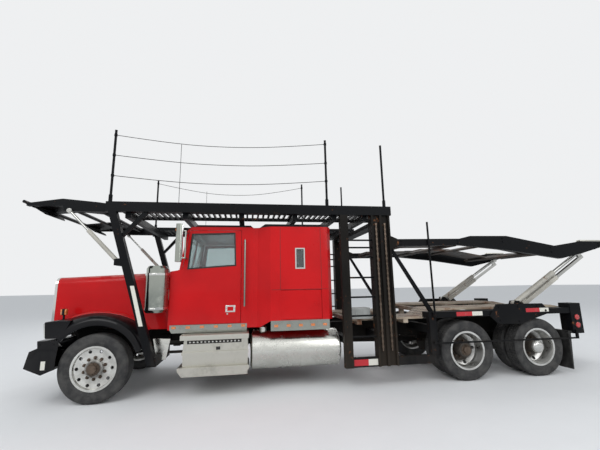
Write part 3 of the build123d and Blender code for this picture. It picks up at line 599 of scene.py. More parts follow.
@dataclass(frozen=True)
class Runway(Finish):
    """Bare car runway: brown worn steel with rust, tyre polish and rows of punched holes painted on its
    upward faces as dark dots of painted shade.
    """

    worn: Colour = (0.52, 0.44, 0.35)
    rust: Colour = (0.2, 0.085, 0.04)
    pitch: float = 0.055
    # where a hole's edge begins and ends, in pitches from its middle
    hole_edge: Pair = (0.2, 0.26)
    hole_shade_colour: Colour = (0.02, 0.018, 0.016)

    def build(self, shader: Shader) -> None:
        """Make the nodes.

        Args:
            shader: the empty material to fill.
        """
        cloud = shader.noise(3.0, 7.0, 0.68)
        fine = shader.noise(40.0, 5.0, 0.6)
        streaks = shader.noise(6.0, 6.0, 0.62, (0.3, 1.0, 1.0))
        flat = shader.facing_up().above(0.5, 0.9)
        colour = shader.mix(streaks.above(0.35, 0.65), self.colour, self.worn)
        colour = shader.mix(cloud.above(0.5, 0.66), colour, self.rust)
        round_x = shader.math("PINGPONG", shader.along(0), self.pitch / 2)
        round_y = shader.math("PINGPONG", shader.along(1), self.pitch / 2)
        off_centre = shader.math("SQRT", round_x * round_x + round_y * round_y)
        # each hole is a dark dot of painted shade, with a dip in the bump
        hole = (1.0 - off_centre.above(*(self.pitch * share for share in self.hole_edge))) * flat
        shader.finish(Base_Color=shader.mix(hole, colour, self.hole_shade_colour),
                      Roughness=(cloud * 0.3 + self.roughness - 0.15).clamped(),
                      Normal=shader.bump(fine * 0.5 + cloud - hole * 3.0, 0.0015))


@dataclass(frozen=True)
class Weave(Finish):
    """Woven seat cloth with a twill and some wear."""

    threads: float = 420.0

    def build(self, shader: Shader) -> None:
        """Make the nodes.

        Args:
            shader: the empty material to fill.
        """
        warp = shader.bands(self.threads, "X")
        weft = shader.bands(self.threads, "Y")
        wear = shader.noise(6.0, 5.0)
        height = (warp * weft + shader.bands(self.threads * 0.5, "DIAGONAL") * 0.5).clamped()
        # low threads darker and high ones lighter: the twill pattern with painted shade and highlight on the
        # threads
        colour = shader.mix(height, lighter(self.colour, 0.6), lighter(self.colour, 1.25))
        worn = shader.mix(wear.above(0.5, 0.7) * 0.4, colour, lighter(self.colour, 1.7))
        shader.finish(Base_Color=worn, Roughness=(wear * 0.1 + self.roughness).clamped(),
                      Sheen_Weight=0.3, Normal=shader.bump(height, 0.0008))


@dataclass(frozen=True)
class Patched(Paint):
    """Painted metal with a second paint below a height, as on a tray that holds another vessel."""

    lower_colour: Colour = (0.62, 0.62, 0.58)
    border: float = 0.75

    def ground(self, shader: Shader) -> Socket:
        """Both paints, parted at the border."""
        upper = shader.along(2).above(self.border - 0.002, self.border)
        return shader.mix(upper, self.lower_colour, super().ground(shader))


RED: Colour = (0.5, 0.004, 0.006)
RACK_COLOUR: Colour = (0.005, 0.0055, 0.0065)
RACK_DUST: Colour = (0.08, 0.07, 0.06)
# dark brown of the wheels' road film, also the colour of the painted shade in their dishes
BROWN_FILM_AND_SHADE: Colour = (0.055, 0.046, 0.038)
RED_PAINT = Paint("red_enamel", "red_paint", RED, 0.3, coat=0.22, specular=0.12, dust=0.12, film=0.07,
                  film_top=1.15, uneven=0.07)
# the hood's red, with a painted highlight and faded paint along its shoulders
HOOD_RED = HoodPaint("red_enamel_faded_highlight", "red_paint", RED, 0.32, coat=0.22, specular=0.12, dust=0.16,
                     film=0.08, film_top=1.2, uneven=0.08)
FENDER_BLACK = Paint("fender_black", "fender_black", (0.004, 0.004, 0.005), 0.3, coat=0.25, specular=0.08,
                     dust=0.08, film=0.1, dust_colour=(0.1, 0.095, 0.09), film_top=1.1)
RACK_BLACK = Paint("rack_black", "rack_black", RACK_COLOUR, 0.46, specular=0.08, dust=0.12, film=0.2,
                   rust=0.32, dust_colour=RACK_DUST, film_top=1.2)
LEG_BLACK = StripedPaint("leg_black", "rack_black", RACK_COLOUR, 0.46, specular=0.08, dust=0.12, film=0.2,
                         rust=0.32, dust_colour=RACK_DUST, film_top=1.2)
MAST_BLACK = Paint("mast_black", "rack_black", (0.009, 0.008, 0.007), 0.5, specular=0.08, dust=0.34,
                   film=0.35, rust=0.38, dust_colour=(0.07, 0.055, 0.042), film_top=1.6, uneven=0.2)
CHASSIS_BLACK = Paint("chassis_black", "chassis_black", (0.006, 0.006, 0.006), 0.6, specular=0.1, dust=0.2,
                      film=0.3, rust=0.3, dust_colour=(0.09, 0.075, 0.06), film_top=1.1)
LEG_SILVER = Paint("leg_silver", "rack_black", (0.4, 0.385, 0.34), 0.4, specular=0.4, dust=0.2, film=0.25,
                   rust=0.42, dust_colour=(0.16, 0.13, 0.1), uneven=0.2)
IRON = Paint("cast_iron", "engine_iron", (0.06, 0.055, 0.05), 0.62, dust=0.3, film=0.3, rust=0.42)
VALVE_GREY = Patched("valve_enamel", "valve_grey", (0.34, 0.35, 0.34), 0.42, dust=0.3, film=0.2, rust=0.2)
ALUMINIUM = Metal("polished_aluminium", "polished_aluminium", (0.6, 0.6, 0.56), 0.2,
                  grain=(0.5, 6.0, 6.0), smear=0.16, film=0.35, film_top=0.75, tarnish=0.25)
STEP_ALUMINIUM = Metal("step_aluminium", "polished_aluminium", (0.52, 0.51, 0.46), 0.36,
                       grain=(8.0, 8.0, 0.5), smear=0.22, film=0.45, film_top=0.7, tarnish=0.35)
CLEANER_STEEL = Metal("cleaner_steel", "polished_aluminium", (0.36, 0.38, 0.34), 0.12,
                      grain=(6.0, 6.0, 0.5), smear=0.12, film=0.1, film_top=1.3, tarnish=0.35)
CHROME = Metal("bright_chrome", "bright_chrome", (0.62, 0.62, 0.6), 0.09, smear=0.06, film=0.2,
               tarnish=0.1)
# a darker copy of the bright chrome: its lower colour is painted shade, its heavier film and tarnish are dirt
TRIM_CHROME = Metal("trim_chrome", "bright_chrome", (0.3, 0.31, 0.28), 0.14, smear=0.1, film=0.4,
                    film_top=1.2, film_colour=(0.2, 0.19, 0.16), tarnish=0.3)
STEER_RIM = RimMetal("wheel_steer", "wheel_aluminium", (0.68, 0.68, 0.65), 0.26, smear=0.14, film=0.3,
                     film_top=1.4, film_colour=BROWN_FILM_AND_SHADE, tarnish=0.35)
# the twin wheels' dish is darkened far out: painted shade in the deep dish, with brake dust
DRIVE_RIM = RimMetal("wheel_drive", "wheel_aluminium", (0.66, 0.66, 0.64), 0.26, smear=0.14, film=0.35,
                     film_top=1.4, film_colour=BROWN_FILM_AND_SHADE, tarnish=0.3, grime=0.95,
                     grime_reach=(0.215, 0.265))
ROD_CHROME = Metal("rod_chrome", "rod_chrome", (0.46, 0.46, 0.44), 0.16, grain=(8.0, 1.0, 8.0), film=0.1)
HUB_STEEL = Metal("hub_steel", None, (0.15, 0.115, 0.09), 0.5, smear=0.2, film=0.5, film_top=1.4,
                  film_colour=(0.07, 0.05, 0.035), tarnish=0.5)
WIRE_STEEL = Metal("wire_steel", None, (0.05, 0.05, 0.05), 0.45, film=0.0)
TYRE_RUBBER = Rubber("tyre_rubber", "tyre_rubber", (0.02, 0.02, 0.021), 0.62, dust=0.3)
FLAP_RUBBER = Rubber("flap_rubber", "flap_rubber", (0.014, 0.014, 0.014), 0.55, dust=0.25)
# black rubber of seals, wipers, seams and lamp rings, and the dark rings and blocks that are painted shade in
# holes and slots
BLACK_RUBBER_AND_SHADE = Rubber("black_rubber_and_shade", None, (0.01, 0.01, 0.01), 0.5, dust=0.12)
CAB_GLASS = Glass("cab_glass", "clear_glass", (0.62, 0.7, 0.7), 0.02)
MIRROR_GLASS = Metal("mirror_glass", None, (0.82, 0.84, 0.85), 0.03, smear=0.02, film=0.0, tarnish=0.0)
AMBER_LENS = Lens("amber_lens", "amber_lens", (0.62, 0.17, 0.025), 0.14)
RED_LENS = Lens("red_lens", None, (0.45, 0.008, 0.01), 0.14)
# the clear lens's pale colour is a painted reflection of the bright reflector behind clear glass
CLEAR_LENS = Lens("clear_lens", None, (0.72, 0.71, 0.62), 0.1, ribs=45.0)
RED_TAPE = Tape("red_tape", None, (0.5, 0.015, 0.025), 0.32)
WHITE_TAPE = Tape("white_tape", None, (0.72, 0.71, 0.64), 0.32)
CAB_PLASTIC = Plastic("cab_plastic", "cab_plastic", (0.1, 0.095, 0.09), 0.6)
DECK_STEEL = Runway("deck_steel", "deck_steel", (0.26, 0.2, 0.15), 0.62, worn=(0.46, 0.39, 0.3))
DECK_DARK = Runway("deck_dark", "deck_steel", (0.022, 0.02, 0.019), 0.6, worn=(0.065, 0.05, 0.038),
                   rust=(0.06, 0.028, 0.014))
SEAT_CLOTH = Weave("seat_cloth", "seat_fabric", (0.13, 0.13, 0.14), 0.8)


# Modelling

class Piece:
    """A mesh that is modelled with bmesh operators and then becomes one finished object."""

    def __init__(self, name: str, body: str, finish: Finish) -> None:
        """Start an empty piece.

        Args:
            name: the object's name.
            body: the CAD body that it rides on.
            finish: its material.
        """
        self.name = name
        self.body = body
        self.finish = finish
        self.mesh = bmesh.new()

    def round_edges(self, verts: Sequence[bmesh.types.BMVert], radius: float) -> None:
        """Bevel the edges between some vertices.

        Args:
            verts: the vertices.
            radius: of the bevel; 0 leaves the edges sharp.
        """
        if radius <= 0.0:
            return
        chosen = set(verts)
        edges = {edge for vert in chosen for edge in vert.link_edges if edge.other_vert(vert) in chosen}
        bmesh.ops.bevel(self.mesh, geom=list(edges), offset=radius, offset_type="OFFSET", affect="EDGES",
                        segments=2, profile=0.5, material=-1, clamp_overlap=True)

    def block(self, low: Vector, high: Vector, radius: float = 0.0, turn: Matrix | None = None) -> None:
        """Add a box with rounded edges.

        Args:
            low: one corner.
            high: the opposite corner.
            radius: of its edges.
            turn: a turn about its middle.
        """
        size = [abs(b - a) for a, b in zip(low, high)]
        matrix = Matrix.Translation((low + high) / 2) @ (turn or Matrix()) @ Matrix.Diagonal((*size, 1.0))
        verts = bmesh.ops.create_cube(self.mesh, size=1.0, matrix=matrix)["verts"]
        self.round_edges(verts, radius)

    def rod(self, start: Vector, end: Vector, radius: float, sides: int = 14,
            tip: float | None = None) -> None:
        """Add a round bar.

        Args:
            start: the middle of one end.
            end: the middle of the other.
            radius: of the bar.
            sides: how many facets it has.
            tip: its radius at the end, where it tapers.
        """
        run = end - start
        matrix = Matrix.Translation((start + end) / 2) @ run.to_track_quat("Z", "Y").to_matrix().to_4x4()
        bmesh.ops.create_cone(self.mesh, cap_ends=True, cap_tris=False, segments=sides, radius1=radius,
                              radius2=radius if tip is None else tip, depth=run.length, matrix=matrix)

    def lathe(self, profile: Outline, origin: Vector, axis: Vector, steps: int = 48,
              closed: bool = False) -> list[bmesh.types.BMFace]:
        """Spin a profile about an axis.

        Args:
            profile: (distance along the axis, radius) points.
            origin: where the distance is 0.
            axis: the direction of the axis.
            steps: how many facets the turn has.
            closed: whether the profile's last point joins its first.

        Returns:
            The new faces.
        """
        count = len(self.mesh.verts)
        face_count = len(self.mesh.faces)
        side = axis.orthogonal().normalized()
        verts = [self.mesh.verts.new(origin + axis * far + side * radius) for far, radius in profile]
        edges = [self.mesh.edges.new(pair) for pair in zip(verts, verts[1:])]
        if closed:
            edges.append(self.mesh.edges.new((verts[-1], verts[0])))
        bmesh.ops.spin(self.mesh, geom=verts + edges, cent=origin, axis=axis, angle=tau, steps=steps,
                       use_merge=True, use_duplicate=False)
        self.mesh.verts.ensure_lookup_table()
        bmesh.ops.remove_doubles(self.mesh, verts=self.mesh.verts[count:], dist=1e-6)
        self.mesh.faces.ensure_lookup_table()
        return self.mesh.faces[face_count:]

    def plate(self, outline: Points, depth: Vector, radius: float = 0.0) -> None:
        """Add a plate with rounded edges.

        Args:
            outline: the corners of its first face.
            depth: how far and which way that face is pushed out.
            radius: of its edges.
        """
        verts = [self.mesh.verts.new(point) for point in outline]
        made = bmesh.ops.extrude_face_region(self.mesh, geom=[self.mesh.faces.new(verts)])
        top = [item for item in made["geom"] if isinstance(item, bmesh.types.BMVert)]
        bmesh.ops.translate(self.mesh, verts=top, vec=depth)
        self.round_edges(verts + top, radius)

    def border(self, outline: Points, depth: Vector, width: float) -> None:
        """Add a frame.

        Args:
            outline: the corners of its first face.
            depth: how far and which way that face is pushed out.
            width: of the rim that stays round the open middle.
        """
        face = self.mesh.faces.new([self.mesh.verts.new(point) for point in outline])
        # the inset has no direction until the new face knows its normal
        face.normal_update()
        rim = bmesh.ops.inset_region(self.mesh, faces=[face], thickness=width, use_boundary=True,
                                     use_even_offset=True)["faces"]
        bmesh.ops.delete(self.mesh, geom=[face], context="FACES_ONLY")
        made = bmesh.ops.extrude_face_region(self.mesh, geom=rim, use_keep_orig=True)
        top = [item for item in made["geom"] if isinstance(item, bmesh.types.BMVert)]
        bmesh.ops.translate(self.mesh, verts=top, vec=depth)

    def skin(self, ribs: Sequence[Points], thickness: float) -> None:
        """Add a wall over open ribs that have equally many points.

        Args:
            ribs: the points of each rib, in order across the skin.
            thickness: of the wall.
        """
        first = len(self.mesh.faces)
        rows = []
        for rib in ribs:
            verts = [self.mesh.verts.new(point) for point in rib]
            rows.append([self.mesh.edges.new(pair) for pair in zip(verts, verts[1:])])
        for one, other in zip(rows, rows[1:]):
            bmesh.ops.bridge_loops(self.mesh, edges=one + other)
        self.mesh.faces.ensure_lookup_table()
        faces = self.mesh.faces[first:]
        bmesh.ops.recalc_face_normals(self.mesh, faces=faces)
        bmesh.ops.solidify(self.mesh, geom=faces, thickness=thickness)

    def bolt(self, point: Vector, direction: Vector, radius: float = 0.011, height: float = 0.009) -> None:
        """Add a hexagon head on its washer, sunk a little into what it holds.

        Args:
            point: where the face that it holds is.
            direction: away from that face.
            radius: of the head.
            height: of the head.
        """
        washer = direction * 0.002
        foot = point - washer
        self.rod(foot, point + washer, radius * 1.5, 12)
        self.rod(foot, point + direction * height, radius, 6, radius * 0.94)

    def rivet(self, point: Vector, direction: Vector, radius: float) -> None:
        """Add a low domed head."""
        self.rod(point - direction * 0.001, point + direction * radius * 0.45, radius, 8, radius * 0.5)

    def done(self, sharp_over: float = 35.0) -> Thing:
        """Turn the mesh into an object that rides on its body.

        Args:
            sharp_over: the angle in degrees above which an edge stays sharp.

        Returns:
            The object.
        """
        bmesh.ops.recalc_face_normals(self.mesh, faces=self.mesh.faces)
        limit = radians(sharp_over)
        for face in self.mesh.faces:
            face.smooth = True
        for edge in self.mesh.edges:
            edge.smooth = edge.calc_face_angle(pi) < limit
        data = bpy.data.meshes.new(self.name)
        self.mesh.to_mesh(data)
        self.mesh.free()
        return finished(self.name, data, self.body, self.finish)


def finished(name: str, data: bpy.types.Mesh, body: str, finish: Finish) -> Thing:
    """Link a mesh as an object with its material, riding on a body.

    Args:
        name: the object's name.
        data: its mesh, already in place in the frame.
        body: the CAD body that it rides on.
        finish: its material.

    Returns:
        The object.
    """
    data.materials.clear()
    data.materials.append(finish.material())
    made = bpy.data.objects.new(name, data)
    bpy.context.scene.collection.objects.link(made)
    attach(made, body)
    LOG.info("%s rides on %s, %d faces", name, body, len(data.polygons))
    return made


def wires(name: str, body: str, finish: Finish, lines: Sequence[Points],
          radius: float) -> Thing:
    """Round wires or pipes on smooth lines, joined as one piece.

    Args:
        name: the object's name.
        body: the CAD body that it rides on.
        finish: its material.
        lines: the points that each wire follows.
        radius: of each wire.

    Returns:
        The object.
    """
    curve = bpy.data.curves.new(name, "CURVE")
    curve.dimensions = "3D"
    curve.bevel_depth = radius
    curve.bevel_resolution = 2
    curve.use_fill_caps = True
    curve.resolution_u = 8
    for points in lines:
        spline = curve.splines.new("NURBS")
        spline.points.add(len(points) - 1)
        for control, point in zip(spline.points, points):
            control.co = (*point, 1.0)
        spline.order_u = min(3, len(points))
        spline.use_endpoint_u = True
    rough = bpy.data.objects.new(name + "_line", curve)
    data = bpy.data.meshes.new_from_object(rough)
    data.name = name
    bpy.data.objects.remove(rough)
    for polygon in data.polygons:
        polygon.use_smooth = True
    return finished(name, data, body, finish)


def dress(finish: Finish, *nodes: str) -> None:
    """Give CAD nodes a finish.

    Args:
        finish: the new material.
        *nodes: the nodes' names.
    """
    for node in nodes:
        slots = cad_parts[node].data.materials
        slots.clear()
        slots.append(finish.material())


def in_side_view(outline: Outline, y: float) -> list[Vector]:
    """Points of a side view's (x, z) outline, at one y."""
    return [place(x, y, z) for x, z in outline]


def spoke(number: float, count: int) -> Vector:
    """Direction of one of count spokes in a side view."""
    angle = tau * number / count
    return Vector((cos(angle), 0.0, sin(angle)))


# Wheels

class Tread(Enum):
    """Pattern of a tyre's crown."""

    RIBS = "ribs"
    BLOCKS = "blocks"


@dataclass
class Wheel:
    """One wheel body: its tyres, nuts and hub cover."""

    name: str
    body: str
    rim: str
    tyres: str
    side: int
    tread: Tread
    covered: bool = False
    width: float = 0.255
    bead: float = 0.288
    groove_depth: float = 0.011
    groove_width: float = 0.009
    block_groove: float = 0.004
    shoulder: float = 0.03
    block_gap: float = 0.0035
    bolt_circle: float = 0.1425
    nut_count: int = 10
    washer: Pair = (0.023, 0.006)
    nut: Pair = (0.0185, 0.026)
    stud: Pair = (0.0105, 0.04)
    cap_bolt_count: int = 8
    cap_bolt_circle: float = 0.073
    # (distance from the hub's face, radius) of the hub covers
    dome: Outline = ((0.0, 0.0), (0.0, 0.104), (0.028, 0.102), (0.052, 0.088), (0.066, 0.058), (0.07, 0.0))
    cap: Outline = ((0.0, 0.0), (0.0, 0.086), (0.01, 0.084), (0.012, 0.06), (0.04, 0.056), (0.046, 0.05),
                    (0.048, 0.0))
    hand_hole_circle: float = 0.232
    hand_hole: float = 0.017
    dish_height: float = 0.0719
    dish_slope: float = radians(8.6)
    outer: float = field(init=False)
    axle_x: float = field(init=False)
    planes: list[float] = field(init=False)
    nut_seat: float = field(init=False)
    hub_face: float = field(init=False)

    def __post_init__(self) -> None:
        """Read the tyres' size and places from the frame, and place the hub from the tyre's mid-plane."""
        low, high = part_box(self.tyres)
        self.outer = (high.z - low.z) / 2
        self.axle_x = (low.x + high.x) / 2
        ends = (low.y + self.width / 2, high.y - self.width / 2)
        self.planes = [ends[0]] if self.front else sorted(ends, key=abs, reverse=True)
        self.nut_seat, self.hub_face = (0.068, 0.118) if self.front else (-0.136, 0.064)

    @property
    def front(self) -> bool:
        """Whether it is a front wheel, with a ribbed tyre and its dish outwards."""
        return self.tread is Tread.RIBS

    def centre(self, plane: float) -> Vector:
        """Middle of the tyre whose mid-plane is at y = plane."""
        return Vector((self.axle_x, plane, self.outer))

    def sidewall(self) -> list[Pair]:
        """Half a tyre's section from bead to shoulder, as (offset from the mid-plane, radius)."""
        half = self.width / 2
        # offset inwards from the tyre's side, radius
        steps = ((0.029, self.bead), (0.022, 0.3), (0.024, 0.306), (0.012, 0.33), (0.0065, 0.343),
                 (0.0045, 0.349), (0.0055, 0.355), (0.001, 0.376), (0.0, 0.39), (0.001, 0.408),
                 (0.004, 0.424), (0.0035, 0.43), (0.009, 0.4385), (0.014, self.outer - 0.016),
                 (0.022, self.outer - 0.007))
        return [(half - inwards, radius) for inwards, radius in steps]

    def crown(self) -> list[Pair]:
        """Section across the tread from one shoulder to the other, with its round grooves."""
        reach = self.width / 2 - self.shoulder
        base = self.outer - (0.0 if self.front else self.groove_depth)
        bottom = self.outer - self.groove_depth - (0.0 if self.front else self.block_groove)
        grooves = (0.022, 0.064) if self.front else (0.0, 0.044, 0.072)
        half = self.groove_width / 2
        points = [(reach, base - 0.002)]
        for y in sorted({-g for g in grooves} | set(grooves), reverse=True):
            points += [(y + half, base), (y + half * 0.6, bottom), (y - half * 0.6, bottom), (y - half, base)]
        return points + [(-reach, base - 0.002)]

    def build_tyres(self) -> None:
        """Model the tyres and let them stand for the CAD ones."""
        piece = Piece(f"tyre_{self.name}", self.body, TYRE_RUBBER)
        wall = self.sidewall()
        section = wall + self.crown() + [(-y, r) for y, r in reversed(wall)]
        facets = 84 if self.front else 64
        for plane in self.planes:
            faces = piece.lathe(section, self.centre(plane), outward(1), facets, closed=True)
            if self.tread is Tread.BLOCKS:
                crown = [face for face in faces if self.on_crown(face, plane)]
                bmesh.ops.recalc_face_normals(piece.mesh, faces=piece.mesh.faces)
                bmesh.ops.inset_individual(piece.mesh, faces=crown, thickness=self.block_gap,
                                           depth=self.groove_depth - 0.001, use_even_offset=True)
        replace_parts(piece.done(28.0), self.tyres)

    def on_crown(self, face: bmesh.types.BMFace, plane: float) -> bool:
        """Whether a face of the tyre is one that a tread block stands on.

        Args:
            face: the face.
            plane: y of the tyre's mid-plane.

        Returns:
            True on the crown outside its grooves.
        """
        middle = face.calc_center_median()
        reach = hypot(middle.x - self.axle_x, middle.z - self.outer)
        across = abs(middle.y - plane)
        return across < self.width / 2 - 0.028 and reach > self.outer - self.groove_depth - 0.003

    def build_nuts(self) -> None:
        """Model the nuts on their washers and studs."""
        away = outward(self.side)
        nuts = Piece(f"nuts_{self.name}", self.body, HUB_STEEL)
        for number in range(self.nut_count):
            out = spoke(number + 0.5, self.nut_count) * self.bolt_circle
            spot = self.centre(self.planes[0]) + out + away * self.nut_seat
            nuts.rod(spot - away * 0.002, spot + away * self.washer[1], self.washer[0], 16)
            nuts.rod(spot, spot + away * self.nut[1], self.nut[0], 6, self.nut[0] - 0.001)
            nuts.rod(spot, spot + away * self.stud[1], self.stud[0], 10)
        nuts.done()

    def build_hub_cover(self) -> None:
        """Model the polished dome on a covered hub, or else the flanged cap with its bolts."""
        away = outward(self.side)
        middle = self.centre(self.planes[0])
        cover = Piece(f"hub_cover_{self.name}", self.body, CHROME if self.covered else HUB_STEEL)
        profile = self.dome if self.covered else self.cap
        cover.lathe(profile, middle + away * (self.hub_face - 0.001), away, 36)
        if not self.covered:
            for number in range(self.cap_bolt_count):
                spot = middle + spoke(number, self.cap_bolt_count) * self.cap_bolt_circle
                cover.bolt(spot + away * (self.hub_face + 0.009), away, 0.008, 0.01)
        cover.done()

    def build_hand_hole_shade_rings(self) -> None:
        """Model a dark ring round each hand hole of a front wheel, painted shade that makes the holes look
        larger.
        """
        # dark rings of painted shade round the hand holes
        edges = Piece(f"hand_hole_shade_rings_{self.name}", self.body, BLACK_RUBBER_AND_SHADE)
        away = outward(self.side)
        hole = self.hand_hole
        section = ((-0.002, hole), (0.0012, hole), (0.0014, hole + 0.006), (-0.002, hole + 0.007))
        for number in range(self.nut_count):
            out = spoke(number, self.nut_count)
            spot = self.centre(self.planes[0]) + out * self.hand_hole_circle + away * self.dish_height
            tilt = away * cos(self.dish_slope) - out * sin(self.dish_slope)
            edges.lathe(section, spot, tilt, 20, closed=True)
        edges.done()

    def build(self) -> None:
        """Make all of the wheel's pieces."""
        dress(TYRE_RUBBER, self.tyres)
        axle = self.name.rsplit("_", 1)[0]
        plain = STEER_RIM if self.front else DRIVE_RIM
        dress(replace(plain, name=f"rim_{axle}", hub=(self.axle_x, self.outer)), self.rim)
        self.build_tyres()
        self.build_nuts()
        self.build_hub_cover()
        if self.front:
            self.build_hand_hole_shade_rings()


def all_wheels() -> list[Wheel]:
    """The two front wheels and the four twin wheels."""
    found = []
    for side, hand in HANDS:
        found.append(Wheel(f"steer_{hand}", f"front_wheel_{hand}", f"steer_rim_{hand}", f"steer_tyre_{hand}",
                           side, Tread.RIBS))
        for axle in ("front", "rear"):
            spot = f"{axle}_{hand}"
            found.append(Wheel(f"drive_{spot}", f"twin_wheel_{spot}", f"drive_rims_{spot}",
                               f"drive_tyres_{spot}", side, Tread.BLOCKS, covered=axle == "rear"))
    return found


# Front of the truck

@dataclass
class FrontEnd:
    """Hood, fenders, lamps, bumper and air cleaners."""

    # foot and head of the raked lamp face
    lamp_low: Pair = (-0.641, 0.893)
    lamp_high: Pair = (-0.665, 1.115)
    lamp_ys: Pair = (0.785, 1.128)
    lamp_block: Outline = (lamp_low, lamp_high, (-0.486, 1.139), (-0.33, 1.13), (-0.379, 0.999),
                           (-0.486, 0.893))
    lamp_block_ys: Pair = (0.76, 1.15)
    # how far up the lamp face the bezel and the lenses start and end
    bezel_ups: Pair = (0.012, 0.205)
    lens_ups: Pair = (0.03, 0.187)
    bezel_depth: float = 0.022
    bezel_width: float = 0.016
    lens_depth: float = 0.014
    lens_margin: float = 0.018
    lens_gap: float = 0.004
    turn_lamp: Triple = (-0.546, 0.9, 1.235)
    turn_case: Triple = (0.016, 0.036, 0.046)
    turn_lens_xs: Pair = (0.015, 0.04)
    turn_rim: float = 0.003
    stalk_foot: float = 1.12
    stalk_radius: float = 0.015
    # where the hood meets the fender: middle (x, z), radius, angles of the ends in degrees
    shoulder: Five = (-0.091, 0.091, 1.117, 114.8, 49.1)
    # the fender's edge over the wheel, the same way
    mouth: Five = (0.0, 0.465, 0.655, 139.0, 19.5)
    # share of the way from the shoulder to the edge, y, lift
    crown_rows: tuple[Triple, ...] = (
        (0.3, 1.01, 0.022), (0.66, 1.1, 0.026), (0.88, 1.138, 0.014))
    band: float = 0.07
    turned_edge: float = 0.03
    fender_ys: Triple = (0.642, 0.86, 1.15)
    fender_wall: float = 0.012
    lip_y: float = 0.755
    lip_wall: float = 0.005
    liner_wall: float = 0.01
    liner_reach: float = 0.15
    rib_points: int = 25
    hood_front: float = -0.806
    surround_half: float = 0.704
    surround_zs: Pair = (1.008, 1.744)
    surround_corner: float = 0.112
    surround_depth: float = 0.034
    surround_width: float = 0.04
    corner_points: int = 7
    wing: Outline = ((-0.856, 0.52), (-0.642, 0.426), (-0.472, 0.49), (-0.472, 0.62), (-0.455, 0.77),
                     (-0.455, 0.868), (-0.722, 0.868), (-0.711, 0.776), (-0.809, 0.734))
    wing_ys: Pair = (0.64, 1.15)
    wing_wall: float = 0.007
    shelf_wall: float = 0.012
    wing_bolts: Outline = ((-0.69, 0.82), (-0.52, 0.82))
    # pale rectangle on the end plate, over the place of the bumper's square hole
    marker: Outline = ((-0.647, 0.492), (-0.592, 0.492), (-0.592, 0.604), (-0.647, 0.604))
    splash: Outline = ((0.733, 0.818), (0.979, 0.808), (0.927, 0.514), (0.794, 0.521))
    splash_y: float = 0.985
    splash_wall: float = 0.004
    bar_xs: Pair = (0.8, 1.2)
    bar_zs: Pair = (0.76, 0.62)
    bar_half: float = 0.02
    # opposite corners of the radiator's core and of its middle fin
    core: tuple[Triple, Triple] = ((-0.705, -0.5, 1.06), (-0.655, 0.5, 1.62))
    fin: tuple[Triple, Triple] = ((-0.712, -0.006, 1.075), (-0.7, 0.006, 1.605))
    fin_pitch: float = 0.044
    fin_count: int = 23
    cleaner: Pair = (0.765, 1.068)
    cleaner_radius: float = 0.168
    clamp_heights: tuple[float, ...] = (1.262, 1.755)
    # (along the clamp's axis, out from the cleaner's wall)
    clamp: Outline = ((-0.019, -0.004), (-0.017, 0.004), (0.017, 0.004), (0.019, -0.004))
    buckle: Triple = (0.022, 0.008, 0.009)
    buckle_out: float = 0.01
    screw_half: float = 0.034
    screw_radius: float = 0.005

    def rib(self, y: float, arc: Sequence[float], shrink: float = 0.0) -> list[Vector]:
        """Points along a round edge of the fender.

        Args:
            y: of the edge.
            arc: its middle's x and z, its radius and the angles of its ends.
            shrink: how much smaller the radius is.

        Returns:
            The points, from the front to the tail.
        """
        x, z, radius, start, end = arc
        reach = radius - shrink
        angles = [radians(start + (end - start) * number / (self.rib_points - 1))
                  for number in range(self.rib_points)]
        return [place(x + reach * cos(angle), y, z + reach * sin(angle)) for angle in angles]

    def build_fenders(self) -> None:
        """Model both fenders with their crown, turned edge and lamp block, and the hood's lip above."""
        fenders = Piece("fenders", "hood", FENDER_BLACK)
        lips = Piece("hood_lips", "hood", HOOD_RED)
        for side in SIDES:
            inner, top, edge = (side * y for y in self.fender_ys)
            crest, rim = self.rib(top, self.shoulder), self.rib(edge, self.mouth)
            ribs = [self.rib(inner, self.shoulder), crest]
            for share, y, lift in self.crown_rows:
                between = [a.lerp(b, share) for a, b in zip(crest, rim)]
                ribs.append([Vector((point.x, side * y, point.z + lift)) for point in between])
            ribs += [rim, self.rib(edge, self.mouth, self.band),
                     self.rib(edge - side * self.turned_edge, self.mouth, self.band)]
            fenders.skin(ribs, self.fender_wall)
            y0, y1 = self.lamp_block_ys
            fenders.plate(in_side_view(self.lamp_block, side * y0), outward(side) * (y1 - y0), 0.012)
            # y, how much smaller the radius is
            rows = ((side * self.lip_y, -0.022), (top - side * 0.004, -0.018), (top + side * 0.012, -0.008),
                    (top + side * 0.014, 0.006))
            lips.skin([self.rib(y, self.shoulder, shrink) for y, shrink in rows], self.lip_wall)
        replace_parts(fenders.done(40.0), "front_fenders")
        lips.done(60.0)

    def build_liners(self) -> None:
        """Model the upright wall that closes each wheel arch on its inner side."""
        liners = Piece("wheel_arch_liners", "hood", CHASSIS_BLACK)
        for side in SIDES:
            y = side * self.fender_ys[0]
            top, bottom = self.rib(y, self.shoulder, 0.004), self.rib(y, self.mouth, self.liner_reach)
            liners.plate(top + bottom[::-1], outward(side) * self.liner_wall)
        liners.done()

